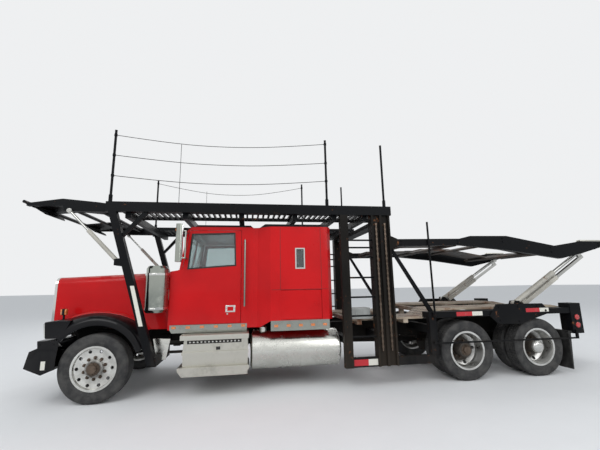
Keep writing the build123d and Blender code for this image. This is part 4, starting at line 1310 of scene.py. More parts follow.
    def build_wings(self) -> None:
        """Model the bumper's end plates with their shelves, and a pale rectangle on each plate over the place
        of its square hole.
        """
        wings = Piece("bumper_wings", "truck", FENDER_BLACK)
        pale_patches = Piece("bumper_pale_patches", "truck", WHITE_TAPE)
        y0, y1 = self.wing_ys
        wall = self.shelf_wall
        (rear, top), (front, _), (foot, low) = self.wing[-4:-1]
        riser = ((front, top), (foot, low), (foot + wall, low), (front + wall, top))
        cheek = ((foot, low), (-0.6, 0.69), (rear, 0.77), (rear, top), (front, top))
        for side in SIDES:
            away = outward(side)
            wings.plate(in_side_view(self.wing, side * (y1 + 0.0005)), away * self.wing_wall, 0.002)
            wings.block(place(front, side * y0, top - wall), place(rear, side * y1, top), 0.003)
            wings.plate(in_side_view(riser, side * y0), away * (y1 - y0))
            wings.plate(in_side_view(cheek, side * y0), away * wall)
            for x, z in self.wing_bolts:
                wings.bolt(place(x, side * (y1 + self.wing_wall), z), away, 0.012, 0.01)
            # pale rectangle in tape finish over the place of the square hole
            pale_patches.plate(in_side_view(self.marker, side * (y1 + self.wing_wall)), away * 0.0015)
        wings.done()
        pale_patches.done()

    def build_surround(self) -> None:
        """Model the bright edge round the hood's front, with its round upper corners."""
        surround = Piece("grille_surround", "hood", CHROME)
        corner, last = self.surround_corner, self.corner_points - 1
        low, top = self.surround_zs
        outline = [place(self.hood_front, -self.surround_half, low)]
        for side in SIDES:
            for number in range(self.corner_points):
                turn = radians(90.0 * (number if side < 0 else last - number) / last)
                y = side * (self.surround_half - corner + corner * cos(turn))
                outline.append(place(self.hood_front, y, top - corner + corner * sin(turn)))
        outline.append(place(self.hood_front, self.surround_half, low))
        surround.border(outline, REARWARD * self.surround_depth, self.surround_width)
        surround.done()

    def build_splash_plates(self) -> None:
        """Model the polished plate behind each front wheel and the bars that carry it from the step box."""
        x0, x1 = self.bar_xs
        for side, hand in HANDS:
            y = side * self.splash_y
            plate = Piece(f"splash_plate_{hand}", "truck", ALUMINIUM)
            plate.plate(in_side_view(self.splash, y), outward(side) * self.splash_wall, 0.0015)
            plate.done()
            bars = Piece(f"splash_bars_{hand}", "truck", CHASSIS_BLACK)
            for z in self.bar_zs:
                bars.block(place(x0, y - side * 0.013, z - self.bar_half),
                           place(x1, y - side * 0.001, z + self.bar_half), 0.002)
            bars.done()

    def lamp_corners(self, rise: Vector, ups: Sequence[float], ys: Sequence[float]) -> list[Vector]:
        """Corners of a rectangle on the raked lamp face.

        Args:
            rise: the direction up that face.
            ups: how far up it the lower and the upper edge are.
            ys: of the two sides.

        Returns:
            The four corners.
        """
        foot = place(self.lamp_low[0], 0.0, self.lamp_low[1])
        (low, high), (a, b) = ups, ys
        spots = ((low, a), (low, b), (high, b), (high, a))
        return [foot + rise * up + Vector((0.0, y, 0.0)) for up, y in spots]

    def build_headlamps(self) -> None:
        """Model a pair of lenses in one bright bezel on the raked front of each fender."""
        (x0, z0), (x1, z1) = self.lamp_low, self.lamp_high
        rise = Vector((x1 - x0, 0.0, z1 - z0)).normalized()
        ahead = rise.cross(outward(1)).normalized()
        for side, hand in HANDS:
            y0, y1 = (side * y for y in self.lamp_ys)
            bezel = Piece(f"headlamp_bezel_{hand}", "hood", CHROME)
            corners = self.lamp_corners(rise, self.bezel_ups, (y0, y1))
            bezel.border(corners, ahead * self.bezel_depth, self.bezel_width)
            bezel.done()
            lens = Piece(f"headlamp_lens_{hand}", "hood", CLEAR_LENS)
            middle, gap, margin = (y0 + y1) / 2, side * self.lens_gap, side * self.lens_margin
            for ys in ((y0 + margin, middle - gap), (middle + gap, y1 - margin)):
                lens.plate(self.lamp_corners(rise, self.lens_ups, ys), ahead * self.lens_depth, 0.004)
            lens.done()

    def build_turn_lamps(self) -> None:
        """Model the amber lamp on its stalk on top of each fender."""
        x, y, z = self.turn_lamp
        thick, half, tall = self.turn_case
        x0, x1 = self.turn_lens_xs
        wide, high = half - self.turn_rim, tall - self.turn_rim
        for side, hand in HANDS:
            stalk = Piece(f"turn_lamp_stalk_{hand}", "hood", FENDER_BLACK)
            stalk.rod(place(x, side * y, self.stalk_foot), place(x, side * y, z - 0.03), self.stalk_radius)
            stalk.block(place(x - thick, side * y - half, z - tall),
                        place(x + thick, side * y + half, z + tall), 0.006)
            stalk.done()
            lens = Piece(f"turn_lamp_lens_{hand}", "hood", AMBER_LENS)
            for way in (-1, 1):
                lens.block(place(x + way * x0, side * y - wide, z - high),
                           place(x + way * x1, side * y + wide, z + high), 0.009)
            lens.done()

    def build_radiator(self) -> None:
        """Model the radiator core that shows through the grille's bars."""
        core = Piece("radiator_core", "truck", CHASSIS_BLACK)
        core.block(*(place(*corner) for corner in self.core), 0.006)
        for number in range(self.fin_count):
            shift = (number - (self.fin_count - 1) / 2) * self.fin_pitch
            core.block(*(place(x, y + shift, z) for x, y, z in self.fin))
        core.done()

    def build_cleaner_bands(self) -> None:
        """Model the clamps with their buckles and screws on each air cleaner."""
        x, y = self.cleaner
        radius = self.cleaner_radius
        section = [(along, radius + out) for along, out in self.clamp]
        buckle, screw = Vector(self.buckle), REARWARD * self.screw_half
        for side, hand in HANDS:
            bands = Piece(f"air_cleaner_bands_{hand}", "truck", CHROME)
            for height in self.clamp_heights:
                origin = place(x, side * y, height)
                bands.lathe(section, origin, UP, 64, closed=True)
                spot = origin + outward(side) * (radius + self.buckle_out)
                bands.block(spot - buckle, spot + buckle, 0.003)
                bands.rod(spot - screw, spot + screw, self.screw_radius, 8)
            bands.done()

    def build(self) -> None:
        """Make all the front's pieces."""
        dress(HOOD_RED, "hood_shell")
        dress(FENDER_BLACK, "front_fenders", "bumper")
        dress(CHROME, "grille")
        dress(CLEANER_STEEL, "air_cleaners")
        self.build_fenders()
        self.build_liners()
        self.build_wings()
        self.build_surround()
        self.build_splash_plates()
        self.build_headlamps()
        self.build_turn_lamps()
        self.build_radiator()
        self.build_cleaner_bands()


# Cab and sleeper

@dataclass
class Cab:
    """Doors, windows, mirrors and trim of the cab and the sleeper."""

    half: float = 1.0
    sleeper_half: float = 1.15
    window: Outline = ((1.19, 1.838), (1.24, 2.38), (1.895, 2.4), (1.914, 1.888))
    seal: float = 0.022
    windscreen_ys: Pair = (0.03, 0.91)
    windscreen_foot: Pair = (1.0685, 1.87)
    windscreen_head: Pair = (1.1582, 2.4)
    # how far the windshield's rubber reaches past the glass sideways and up and down, and its section
    windscreen_lap: Pair = (0.01, 0.012)
    windscreen_seal: Pair = (0.009, 0.024)
    # from the windshield's foot: the wiper's pivot and tip, and from the tip half the blade
    wiper_pivot: Triple = (-0.03, 0.62, -0.055)
    wiper_tip: Triple = (0.03, 0.3, 0.33)
    wiper_blade: Triple = (0.012, 0.03, 0.2)
    seams: tuple[float, ...] = (2.613, 3.267)
    seam_half: float = 0.0025
    seam_top: float = 2.47
    belt: float = 1.495
    belt_half: float = 0.0022
    belt_xs: Pair = (2.47, 3.375)
    roof_rivet_xs: Pair = (2.5, 3.36)
    rivet_pitch: float = 0.075
    rivet_radius: float = 0.005
    rivet_inset: float = 0.022
    port: Outline = ((2.865, 1.83), (2.99, 1.83), (2.99, 2.13), (2.865, 2.13))
    port_seal: Pair = (0.009, 0.02)
    sunk: float = 0.003
    handle: Pair = (1.845, 1.22)
    handle_plate: Triple = (0.075, 0.003, 0.052)
    # from the handle
    lock: Pair = (-0.045, -0.075)
    lock_radius: float = 0.013
    mirror_face: float = 1.13
    mirror_back: float = 1.0405
    mirror_ys: Pair = (1.185, 1.275)
    mirror_edge: float = 0.02
    mirror_lamp: Outline = ((0.0, 0.0), (0.0, 0.028), (0.01, 0.024), (0.015, 0.0))
    mirror_lamp_y: float = 1.23
    mirror_lamp_drop: float = 0.085

    def grown(self, outline: Outline, by: float) -> list[Pair]:
        """An outline pushed outwards from its middle.

        Args:
            outline: the outline.
            by: how far each point moves along X and along Z.

        Returns:
            The new outline.
        """
        mid_x = sum(x for x, _ in outline) / len(outline)
        mid_z = sum(z for _, z in outline) / len(outline)
        return [(x + copysign(by, x - mid_x), z + copysign(by, z - mid_z)) for x, z in outline]

    def build_seals(self, side: int) -> None:
        """Model the rubber round a door's window and the frame round a sleeper's window.

        Args:
            side: of the truck.
        """
        hand = SIDES[side]
        away = outward(side)
        seals = Piece(f"window_seal_{hand}", f"cab_door_{hand}", BLACK_RUBBER_AND_SHADE)
        outline = in_side_view(self.grown(self.window, 0.01), side * (self.half - self.sunk))
        seals.border(outline, away * 0.008, self.seal)
        seals.done()
        port = Piece(f"port_frame_{hand}", "truck", CHROME)
        depth, width = self.port_seal
        outline = in_side_view(self.grown(self.port, 0.016), side * (self.sleeper_half - self.sunk))
        port.border(outline, away * depth, width)
        port.done()

    def build_windscreen(self) -> None:
        """Model the rubber round both panes of the windshield and the wipers."""
        (x0, z0), (x1, z1) = self.windscreen_foot, self.windscreen_head
        ahead = Vector((-(z1 - z0), 0.0, x1 - x0)).normalized()
        seals = Piece("windscreen_seals", "truck", BLACK_RUBBER_AND_SHADE)
        wipers = Piece("wipers", "truck", BLACK_RUBBER_AND_SHADE)
        lap, rise = self.windscreen_lap
        depth, width = self.windscreen_seal
        for side in SIDES:
            y0, y1 = (side * y for y in self.windscreen_ys)
            inner, outer = y0 - side * lap, y1 + side * lap
            corners = [place(x0, inner, z0 - rise), place(x0, outer, z0 - rise),
                       place(x1, outer, z1 + rise), place(x1, inner, z1 + rise)]
            seals.border([corner - ahead * self.sunk for corner in corners], ahead * depth, width)
            pivot, tip = (place(x0 + x, side * y, z0 + z) for x, y, z in (self.wiper_pivot, self.wiper_tip))
            wipers.rod(pivot, tip, 0.006, 8)
            wipers.rod(pivot - Vector((0.02, 0.0, 0.01)), pivot + Vector((0.03, 0.0, 0.01)), 0.014, 12)
            x, y, z = self.wiper_blade
            blade = Vector((x, side * y, z))
            wipers.rod(tip + blade, tip - blade, 0.005, 6)
        seals.done()
        wipers.done()

    def build_door_trim(self, side: int) -> None:
        """Model the handle's plate and lock, and the mirror's glass and lamp.

        Args:
            side: of the truck.
        """
        hand = SIDES[side]
        body = f"cab_door_{hand}"
        (x, z), face = self.handle, side * self.half
        long, thick, tall = self.handle_plate
        trim = Piece(f"door_trim_{hand}", body, CHROME)
        trim.block(place(x - long, face - thick, z - tall), place(x + long, face + thick, z + tall), 0.0028)
        x, z = x + self.lock[0], z + self.lock[1]
        trim.rod(place(x, face, z), place(x, side * (self.half + 0.006), z), self.lock_radius, 16)
        trim.done()
        low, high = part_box(f"mirror_head_{hand}")
        glass = Piece(f"mirror_glass_{hand}", body, MIRROR_GLASS)
        face = AXLE_X + self.mirror_face
        y0, y1 = (side * y for y in self.mirror_ys)
        glass.block(Vector((face - 0.001, y0, low.z + self.mirror_edge)),
                    Vector((face + 0.004, y1, high.z - self.mirror_edge)), 0.0018)
        glass.done()
        lamp = Piece(f"mirror_lamp_{hand}", body, AMBER_LENS)
        spot = Vector((AXLE_X + self.mirror_back, side * self.mirror_lamp_y, high.z - self.mirror_lamp_drop))
        lamp.lathe(self.mirror_lamp, spot, -REARWARD, 24)
        lamp.done()

    def build_panel_lines(self) -> None:
        """Model the sleeper's panel seams and their rivets."""
        low, high = self.belt - self.belt_half, self.belt + self.belt_half
        rows = [((x - self.rivet_inset, self.belt + 0.05), (x - self.rivet_inset, self.seam_top - 0.03))
                for x in self.seams]
        rows.append(tuple((x, self.seam_top) for x in self.roof_rivet_xs))
        for side, hand in HANDS:
            y = side * self.sleeper_half
            seams = Piece(f"sleeper_seams_{hand}", "truck", BLACK_RUBBER_AND_SHADE)
            for x in self.seams:
                seams.block(place(x - self.seam_half, y - 0.001, self.belt),
                            place(x + self.seam_half, y + 0.001, self.seam_top))
            seams.block(place(self.belt_xs[0], y - 0.001, low), place(self.belt_xs[1], y + 0.001, high))
            seams.done()
            rivets = Piece(f"sleeper_rivets_{hand}", "truck", RED_PAINT)
            for (x0, z0), (x1, z1) in rows:
                count = int(hypot(x1 - x0, z1 - z0) / self.rivet_pitch)
                for number in range(count + 1):
                    share = number / count
                    spot = place(x0 + (x1 - x0) * share, y, z0 + (z1 - z0) * share)
                    rivets.rivet(spot, outward(side), self.rivet_radius)
            rivets.done()

    def build(self) -> None:
        """Make all the cab's and the sleeper's pieces."""
        panels = [f"{part}_{hand}" for part in ("door", "hatch") for hand in SIDES.values()]
        dress(RED_PAINT, "cab_shell", "sleeper_shell", *panels)
        dress(FENDER_BLACK, "roof_caps")
        dress(CAB_GLASS, "cab_glass", "door_glass_left", "door_glass_right")
        dress(TRIM_CHROME, "brightwork")
        dress(CLEANER_STEEL, "mirror_head_left", "mirror_head_right")
        dress(AMBER_LENS, "marker_lamps")
        dress(CAB_PLASTIC, "cab_interior")
        self.build_windscreen()
        for side in SIDES:
            self.build_seals(side)
            self.build_door_trim(side)
        self.build_panel_lines()


@dataclass
class Seats:
    """The two upholstered seats on their pedestals."""

    cushion_low: Triple = (1.5, -0.25, 1.33)
    cushion_high: Triple = (2.0, 0.25, 1.47)
    back: Outline = ((1.94, 1.475), (2.06, 2.15), (2.14, 2.14), (2.06, 1.475))
    middle: float = 0.52
    voxel: float = 0.01
    swell: float = 0.02
    pressure: float = 4.0
    frames: int = 20
    inset: float = 0.014
    channels: int = 4
    channel_half: float = 0.014
    channel_depth: float = 0.008
    half_width: float = 0.25
    pedestal_foot: float = 1.035

    def inflate(self, rough: Thing) -> Thing:
        """Swell a closed form with cloth pressure and cap how far its points move.

        Args:
            rough: the slightly small form.

        Returns:
            The same object with its simulated mesh.
        """
        remesh = rough.modifiers.new("even", "REMESH")
        remesh.mode = "VOXEL"
        remesh.voxel_size = self.voxel
        self.apply_modifiers(rough)
        start = [vert.co.copy() for vert in rough.data.vertices]
        cloth = rough.modifiers.new("cover", "CLOTH")
        cloth.settings.use_pressure = True
        cloth.settings.uniform_pressure_force = self.pressure
        cloth.settings.effector_weights.gravity = 0.0
        scene = bpy.context.scene
        for number in range(1, self.frames + 1):
            scene.frame_set(number)
        self.apply_modifiers(rough)
        scene.frame_set(1)
        for vert, first in zip(rough.data.vertices, start):
            moved = vert.co - first
            if moved.length > self.swell:
                vert.co = first + moved.normalized() * self.swell
        return rough

    def apply_modifiers(self, piece: Thing) -> None:
        """Bake an object's modifiers into its mesh.

        Args:
            piece: the object.
        """
        graph = bpy.context.evaluated_depsgraph_get()
        data = bpy.data.meshes.new_from_object(piece.evaluated_get(graph))
        piece.modifiers.clear()
        piece.data = data

    def sew(self, piece: Thing, axis: int, low: float, high: float) -> None:
        """Press sewn channels across a cushion.

        Args:
            piece: the cushion.
            axis: the axis that the channels are spaced along.
            low: where the cushion starts on that axis.
            high: where it ends.
        """
        pitch = (high - low) / self.channels
        for vert in piece.data.vertices:
            offset = (vert.co[axis] - low) / pitch
            near = abs(offset - round(offset)) * pitch
            inner = 0 < round(offset) < self.channels
            if inner and near < self.channel_half:
                vert.co -= vert.normal * self.channel_depth * (1.0 - near / self.channel_half)

    def build_pad(self, name: str, outline: Outline, y0: float, y1: float, axis: int) -> Thing:
        """Model one pad from its side view.

        Args:
            name: the piece's name.
            outline: its (x, z) side view.
            y0: its lowest y.
            y1: its highest y.
            axis: the axis that its sewn channels are spaced along.

        Returns:
            The padded piece.
        """
        piece = Piece(name, "truck", SEAT_CLOTH)
        depth = Vector((0.0, y1 - y0 - 2 * self.inset, 0.0))
        piece.plate(in_side_view(outline, y0 + self.inset), depth, 0.03)
        pad = piece.done(60.0)
        self.inflate(pad)
        spots = [vert.co[axis] for vert in pad.data.vertices]
        self.sew(pad, axis, min(spots), max(spots))
        fine = pad.modifiers.new("smooth", "SUBSURF")
        fine.levels = fine.render_levels = 1
        for polygon in pad.data.polygons:
            polygon.use_smooth = True
        pad.data.materials.clear()
        pad.data.materials.append(SEAT_CLOTH.material())
        return pad

    def build(self) -> None:
        """Make both seats; the driver's cushion stands for the CAD seats."""
        dress(SEAT_CLOTH, "seats")
        (x0, _, z0), (x1, _, z1) = self.cushion_low, self.cushion_high
        left, right = x0 + self.inset, x1 - self.inset
        low, high = z0 + self.inset, z1 - self.inset
        outline = ((left, low), (left, high), (right, high), (right, low))
        for side, hand in HANDS:
            y0, y1 = side * self.middle - self.half_width, side * self.middle + self.half_width
            cushion = self.build_pad(f"seat_cushion_{hand}", outline, y0, y1, 1)
            self.build_pad(f"seat_back_{hand}", self.back, y0, y1, 2)
            base = Piece(f"seat_pedestal_{hand}", "truck", CAB_PLASTIC)
            base.block(place(x0 + 0.06, y0 + 0.09, self.pedestal_foot),
                       place(x1 - 0.04, y1 - 0.09, z0 + 0.01), 0.02)
            base.block(place(x0 + 0.03, y0 + 0.05, z0 - 0.03),
                       place(x1 - 0.02, y1 - 0.05, z0 + 0.012), 0.008)
            base.done()
            if side < 0:
                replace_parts(cushion, "seats")


# Steps and tanks

@dataclass
class StepsAndTanks:
    """Grips on the step boxes and the fittings of the fuel tanks."""

    casing_y: float = 1.18
    # first x, last x, y of the front edge, underside, top
    treads: tuple[Five, ...] = (
        (1.16, 2.13, 1.25, 0.81, 0.875), (1.14, 2.14, 1.26, 0.4, 0.44))
    rib_pitch: float = 0.03
    rib_margin: float = 0.02
    # how far behind the tread's front edge the ribs on top begin and end
    rib_reach: Pair = (0.12, 0.006)
    tooth_row: Triple = (1.29, 1.985, 0.772)
    tooth_count: int = 14
    tooth: Pair = (0.017, 0.009)
    slot_half: float = 0.024
    latch_xs: Pair = (1.66, 1.72)
    latch_zs: Pair = (0.655, 0.7)
    low_slot_x: float = 1.24
    low_slot_pitch: float = 0.034
    low_slot_count: int = 24
    low_slot_half: float = 0.011
    low_slot_out: float = 0.078
    low_slot_zs: Pair = (0.352, 0.366)
    tank_centre: Pair = (0.87, 0.578)
    tank_radius: float = 0.278
    bead_xs: Pair = (2.2, 3.51)
    # (along the tank, out from its wall)
    bead: Outline = ((-0.01, -0.003), (-0.006, 0.003), (0.006, 0.003), (0.01, -0.003))
    straps: tuple[float, ...] = (2.186, 2.917)
    strap_width: float = 0.118
    strap_bolt_inset: float = 0.03
    # from the tank's middle, inwards and up
    strap_bolt: Pair = (0.16, 0.262)
    filler_x: float = 2.35
    filler_height: float = 0.04
    filler: Outline = ((-0.004, 0.0), (-0.004, 0.058), (0.012, 0.062), (0.024, 0.06), (0.03, 0.05),
                       (0.032, 0.0))

    def build_ribs(self, side: int) -> None:
        """Model the ribs on top of both treads and on their front edges.

        Args:
            side: of the truck.
        """
        hand = SIDES[side]
        ribs = Piece(f"step_ribs_{hand}", "truck", STEP_ALUMINIUM)
        back, front = self.rib_reach
        for x0, x1, y, z0, z1 in self.treads:
            count = int((x1 - x0) / self.rib_pitch)
            for number in range(count):
                x = x0 + self.rib_margin + number * (x1 - x0 - 2 * self.rib_margin) / (count - 1)
                ribs.block(place(x - 0.005, side * (y - back), z1 - 0.001),
                           place(x + 0.005, side * (y - front), z1 + 0.004), 0.0015)
                ribs.block(place(x - 0.004, side * (y - 0.001), z0 + 0.008),
                           place(x + 0.004, side * (y + 0.003), z1 - 0.008), 0.0012)
        ribs.done()

    def build_slots(self, side: int) -> None:
        """Model the row of teeth in its slot, the latch's slot and the lower row of slots; the slots are dark
        blocks, painted shade where the openings would be.

        Args:
            side: of the truck.
        """
        hand = SIDES[side]
        # dark blocks of painted shade stand for the slots; there are no openings
        slot = Piece(f"step_slot_shades_{hand}", "truck", BLACK_RUBBER_AND_SHADE)
        x0, x1, z = self.tooth_row
        y0, y1 = side * (self.casing_y - 0.002), side * (self.casing_y + 0.0015)
        slot.block(place(x0 - 0.04, y0, z - self.slot_half), place(x1 + 0.04, y1, z + self.slot_half), 0.001)
        (left, right), (low, high) = self.latch_xs, self.latch_zs
        slot.block(place(left, y0, low), place(right, y1, high), 0.001)
        out, half, (low, high) = side * self.low_slot_out, self.low_slot_half, self.low_slot_zs
        for number in range(self.low_slot_count):
            x = self.low_slot_x + number * self.low_slot_pitch
            slot.block(place(x - half, y0 + out, low), place(x + half, y1 + out, high))
        slot.done()
        teeth = Piece(f"step_teeth_{hand}", "truck", CHROME)
        radius, height = self.tooth
        for number in range(self.tooth_count):
            spot = place(x0 + (x1 - x0) * number / (self.tooth_count - 1), side * self.casing_y, z)
            teeth.rod(spot, spot + outward(side) * height, radius, 12, 0.008)
        teeth.done()

    def build_tank_fittings(self, side: int) -> None:
        """Model the end beads, the strap bolts and the filler's cap.

        Args:
            side: of the truck.
        """
        hand = SIDES[side]
        y, z = self.tank_centre
        fittings = Piece(f"tank_fittings_{hand}", "truck", CHROME)
        origin = place(0.0, side * y, z)
        for x in self.bead_xs:
            section = [(x + along, self.tank_radius + out) for along, out in self.bead]
            fittings.lathe(section, origin, REARWARD, 72, closed=True)
        inwards, up = self.strap_bolt
        for strap in self.straps:
            for x in (strap + self.strap_bolt_inset, strap + self.strap_width - self.strap_bolt_inset):
                top = place(x, side * (y - inwards), z + up)
                fittings.rod(top - UP * 0.03, top + UP * 0.03, 0.008, 8)
                fittings.bolt(top + UP * 0.008, UP, 0.014, 0.012)
        cap = place(self.filler_x, side * y, z + self.tank_radius + self.filler_height)
        fittings.lathe(self.filler, cap, UP, 36)
        fittings.done()

    def build(self) -> None:
        """Make all the pieces on both sides."""
        dress(STEP_ALUMINIUM, "step_boxes")
        dress(ALUMINIUM, "fuel_tanks")
        for side in SIDES:
            self.build_ribs(side)
            self.build_slots(side)
            self.build_tank_fittings(side)


# Rack, masts and decks

@dataclass
class Rack:
    """Hand wires, post collars, mast chains and fastenings of the carrying rack."""

    post_y: float = 1.245
    posts: tuple[Pair, ...] = ((0.083, 3.96), (3.374, 3.96), (4.356, 3.917))
    rail_top: float = 2.822
    # start height, middle height, end height of each wire between the first two posts
    near_wires: tuple[Triple, ...] = (
        (3.881, 3.768, 3.894), (3.557, 3.458, 3.559), (3.232, 3.142, 3.245))
    far_wires: tuple[Triple, ...] = ((3.885, 3.66, 3.873),)
    stays: tuple[tuple[int, float, float], ...] = ((-1, 1.055, 3.775), (1, 1.155, 3.73))
    # share of the middle's drop at a quarter of the way, and how much further the pull takes it
    quarter_drop: float = 0.75
    pull: float = 0.1
    wire_radius: float = 0.005
    stay_radius: float = 0.004
    collar: Pair = (0.027, 0.11)
    clamp: Pair = (0.0235, 0.016)
    cap_radius: float = 0.02
    mast_xs: Pair = (4.1, 4.42)
    chain_inset: float = 0.085
    chain_foot: float = 0.56
    chain_ys: Pair = (1.256, 1.27)
    link_pitch: float = 0.04
    link_count: int = 50
    link_half: float = 0.024
    link_widths: Pair = (0.009, 0.014)
    rail_inner: float = 1.2
    rail_bolt_xs: tuple[float, ...] = (0.33, 1.15, 2.0, 2.85, 3.5, 4.02)
    rail_bolt_shift: float = 0.03
    rail_bolt_drops: Pair = (0.04, 0.11)

    def sagging(self, side: int, heights: Triple) -> list[Vector]:
        """Five points on a wire that hangs a little between the first two posts.

        Args:
            side: of the truck.
            heights: of the wire's start, middle and end.

        Returns:
            The points.
        """
        (x0, _), (x1, _) = self.posts[:2]
        start, mid, end = heights
        drop = (start + end) / 2 - mid
        low = drop * self.quarter_drop * (1.0 + self.pull)
        spots = ((0.0, start), (0.25, start - low), (0.5, mid - drop * self.pull), (0.75, end - low),
                 (1.0, end))
        return [place(x0 + (x1 - x0) * share, side * self.post_y, z) for share, z in spots]

    def build_wires(self) -> None:
        """Model the hand wires, the thin stays that hold them up and the collars on the posts."""
        for side, lines in ((-1, self.near_wires), (1, self.far_wires)):
            routes = [self.sagging(side, line) for line in lines]
            wires(f"hand_wires_{SIDES[side]}", "truck", WIRE_STEEL, routes, self.wire_radius)
        stays = Piece("wire_stays", "truck", WIRE_STEEL)
        for side, x, top in self.stays:
            y = side * self.post_y
            stays.rod(place(x, y, self.rail_top - 0.002), place(x, y, top), self.stay_radius, 8)
        stays.done()
        for side in SIDES:
            self.build_collars(side)

    def build_collars(self, side: int) -> None:
        """Model the collar, the cap and the wire clamps of each post.

        Args:
            side: of the truck.
        """
        hand = SIDES[side]
        collars = Piece(f"post_collars_{hand}", "truck", RACK_BLACK)
        lines = self.near_wires if side < 0 else self.far_wires
        y = side * self.post_y
        (collar, tall), (clamp, half) = self.collar, self.clamp
        for number, (x, top) in enumerate(self.posts):
            foot = place(x, y, self.rail_top)
            collars.rod(foot - UP * 0.001, foot + UP * tall, collar, 18)
            collars.bolt(foot + Vector((0.0, side * 0.026, 0.07)), outward(side), 0.008, 0.014)
            collars.rod(place(x, y, top - 0.002), place(x, y, top), self.cap_radius, 14)
            if number < 2:
                for heights in lines:
                    z = heights[2 * number]
                    collars.rod(place(x, y, z - half), place(x, y, z + half), clamp, 14)
        collars.done()

    def build_mast_chains(self) -> None:
        """Model the leaf chains in the masts' open channels."""
        half = self.link_half
        for side, hand in HANDS:
            chain = Piece(f"mast_chains_{hand}", "truck", HUB_STEEL)
            y0, y1 = (side * y for y in self.chain_ys)
            for x in (self.mast_xs[0] + self.chain_inset, self.mast_xs[1] - self.chain_inset):
                for number in range(self.link_count):
                    z = self.chain_foot + number * self.link_pitch
                    wide = self.link_widths[number % 2]
                    chain.block(place(x - wide, y0, z - half), place(x + wide, y1, z + half))
            chain.done()

    def build_bolts(self) -> None:
        """Model the bolts on the rails' inner faces; the outer ones are the truck's widest place."""
        for side, hand in HANDS:
            bolts = Piece(f"rack_bolts_{hand}", "truck", RACK_BLACK)
            for x in self.rail_bolt_xs:
                for shift in (-self.rail_bolt_shift, self.rail_bolt_shift):
                    for drop in self.rail_bolt_drops:
                        spot = place(x + shift, side * self.rail_inner, self.rail_top - drop)
                        bolts.bolt(spot, -outward(side))
            bolts.done()

    def build(self) -> None:
        """Make all the rack's pieces."""
        dress(RACK_BLACK, "head_rails", "head_floor", "head_ramp", "rack_beams", "safety_posts",
              "stinger", "rear_frames")
        dress(LEG_BLACK, "head_legs")
        dress(MAST_BLACK, "posts_and_masts")
        dress(LEG_SILVER, "ramp_barrels")
        dress(ROD_CHROME, "ramp_rods")
        self.build_wires()
        self.build_mast_chains()
        self.build_bolts()


@dataclass
class RearDeck:
    """Fastenings and edge trim of the tilting rear deck and its lift legs."""

    arm_face: float = 1.25
    bolts: Outline = ((4.62, 2.25), (4.62, 2.19), (5.64, 2.26), (5.64, 2.21), (6.5, 2.3), (6.5, 2.24),
                      (7.45, 2.14), (7.45, 2.06), (8.46, 2.21), (8.46, 2.17))
    end_plate: Outline = ((8.08, 2.252), (8.08, 2.28), (8.555, 2.276), (8.555, 2.25))
    end_plate_y: float = 1.17
    end_plate_width: float = 0.08

    def build(self) -> None:
        """Make all the rear deck's pieces."""
        dress(RACK_BLACK, "deck_arms")
        dress(LEG_SILVER, "lift_barrels")
        dress(DECK_DARK, "deck_floor")
        dress(ROD_CHROME, "lift_rods")
        for side, hand in HANDS:
            away = outward(side)
            bolts = Piece(f"deck_bolts_{hand}", "rear_deck", RACK_BLACK)
            for x, z in self.bolts:
                bolts.bolt(place(x, side * self.arm_face, z), away, 0.012, 0.01)
            bolts.done()
            plate = Piece(f"deck_end_plate_{hand}", "rear_deck", STEP_ALUMINIUM)
            outline = in_side_view(self.end_plate, side * self.end_plate_y)
            plate.plate(outline, away * self.end_plate_width, 0.003)
            plate.done()


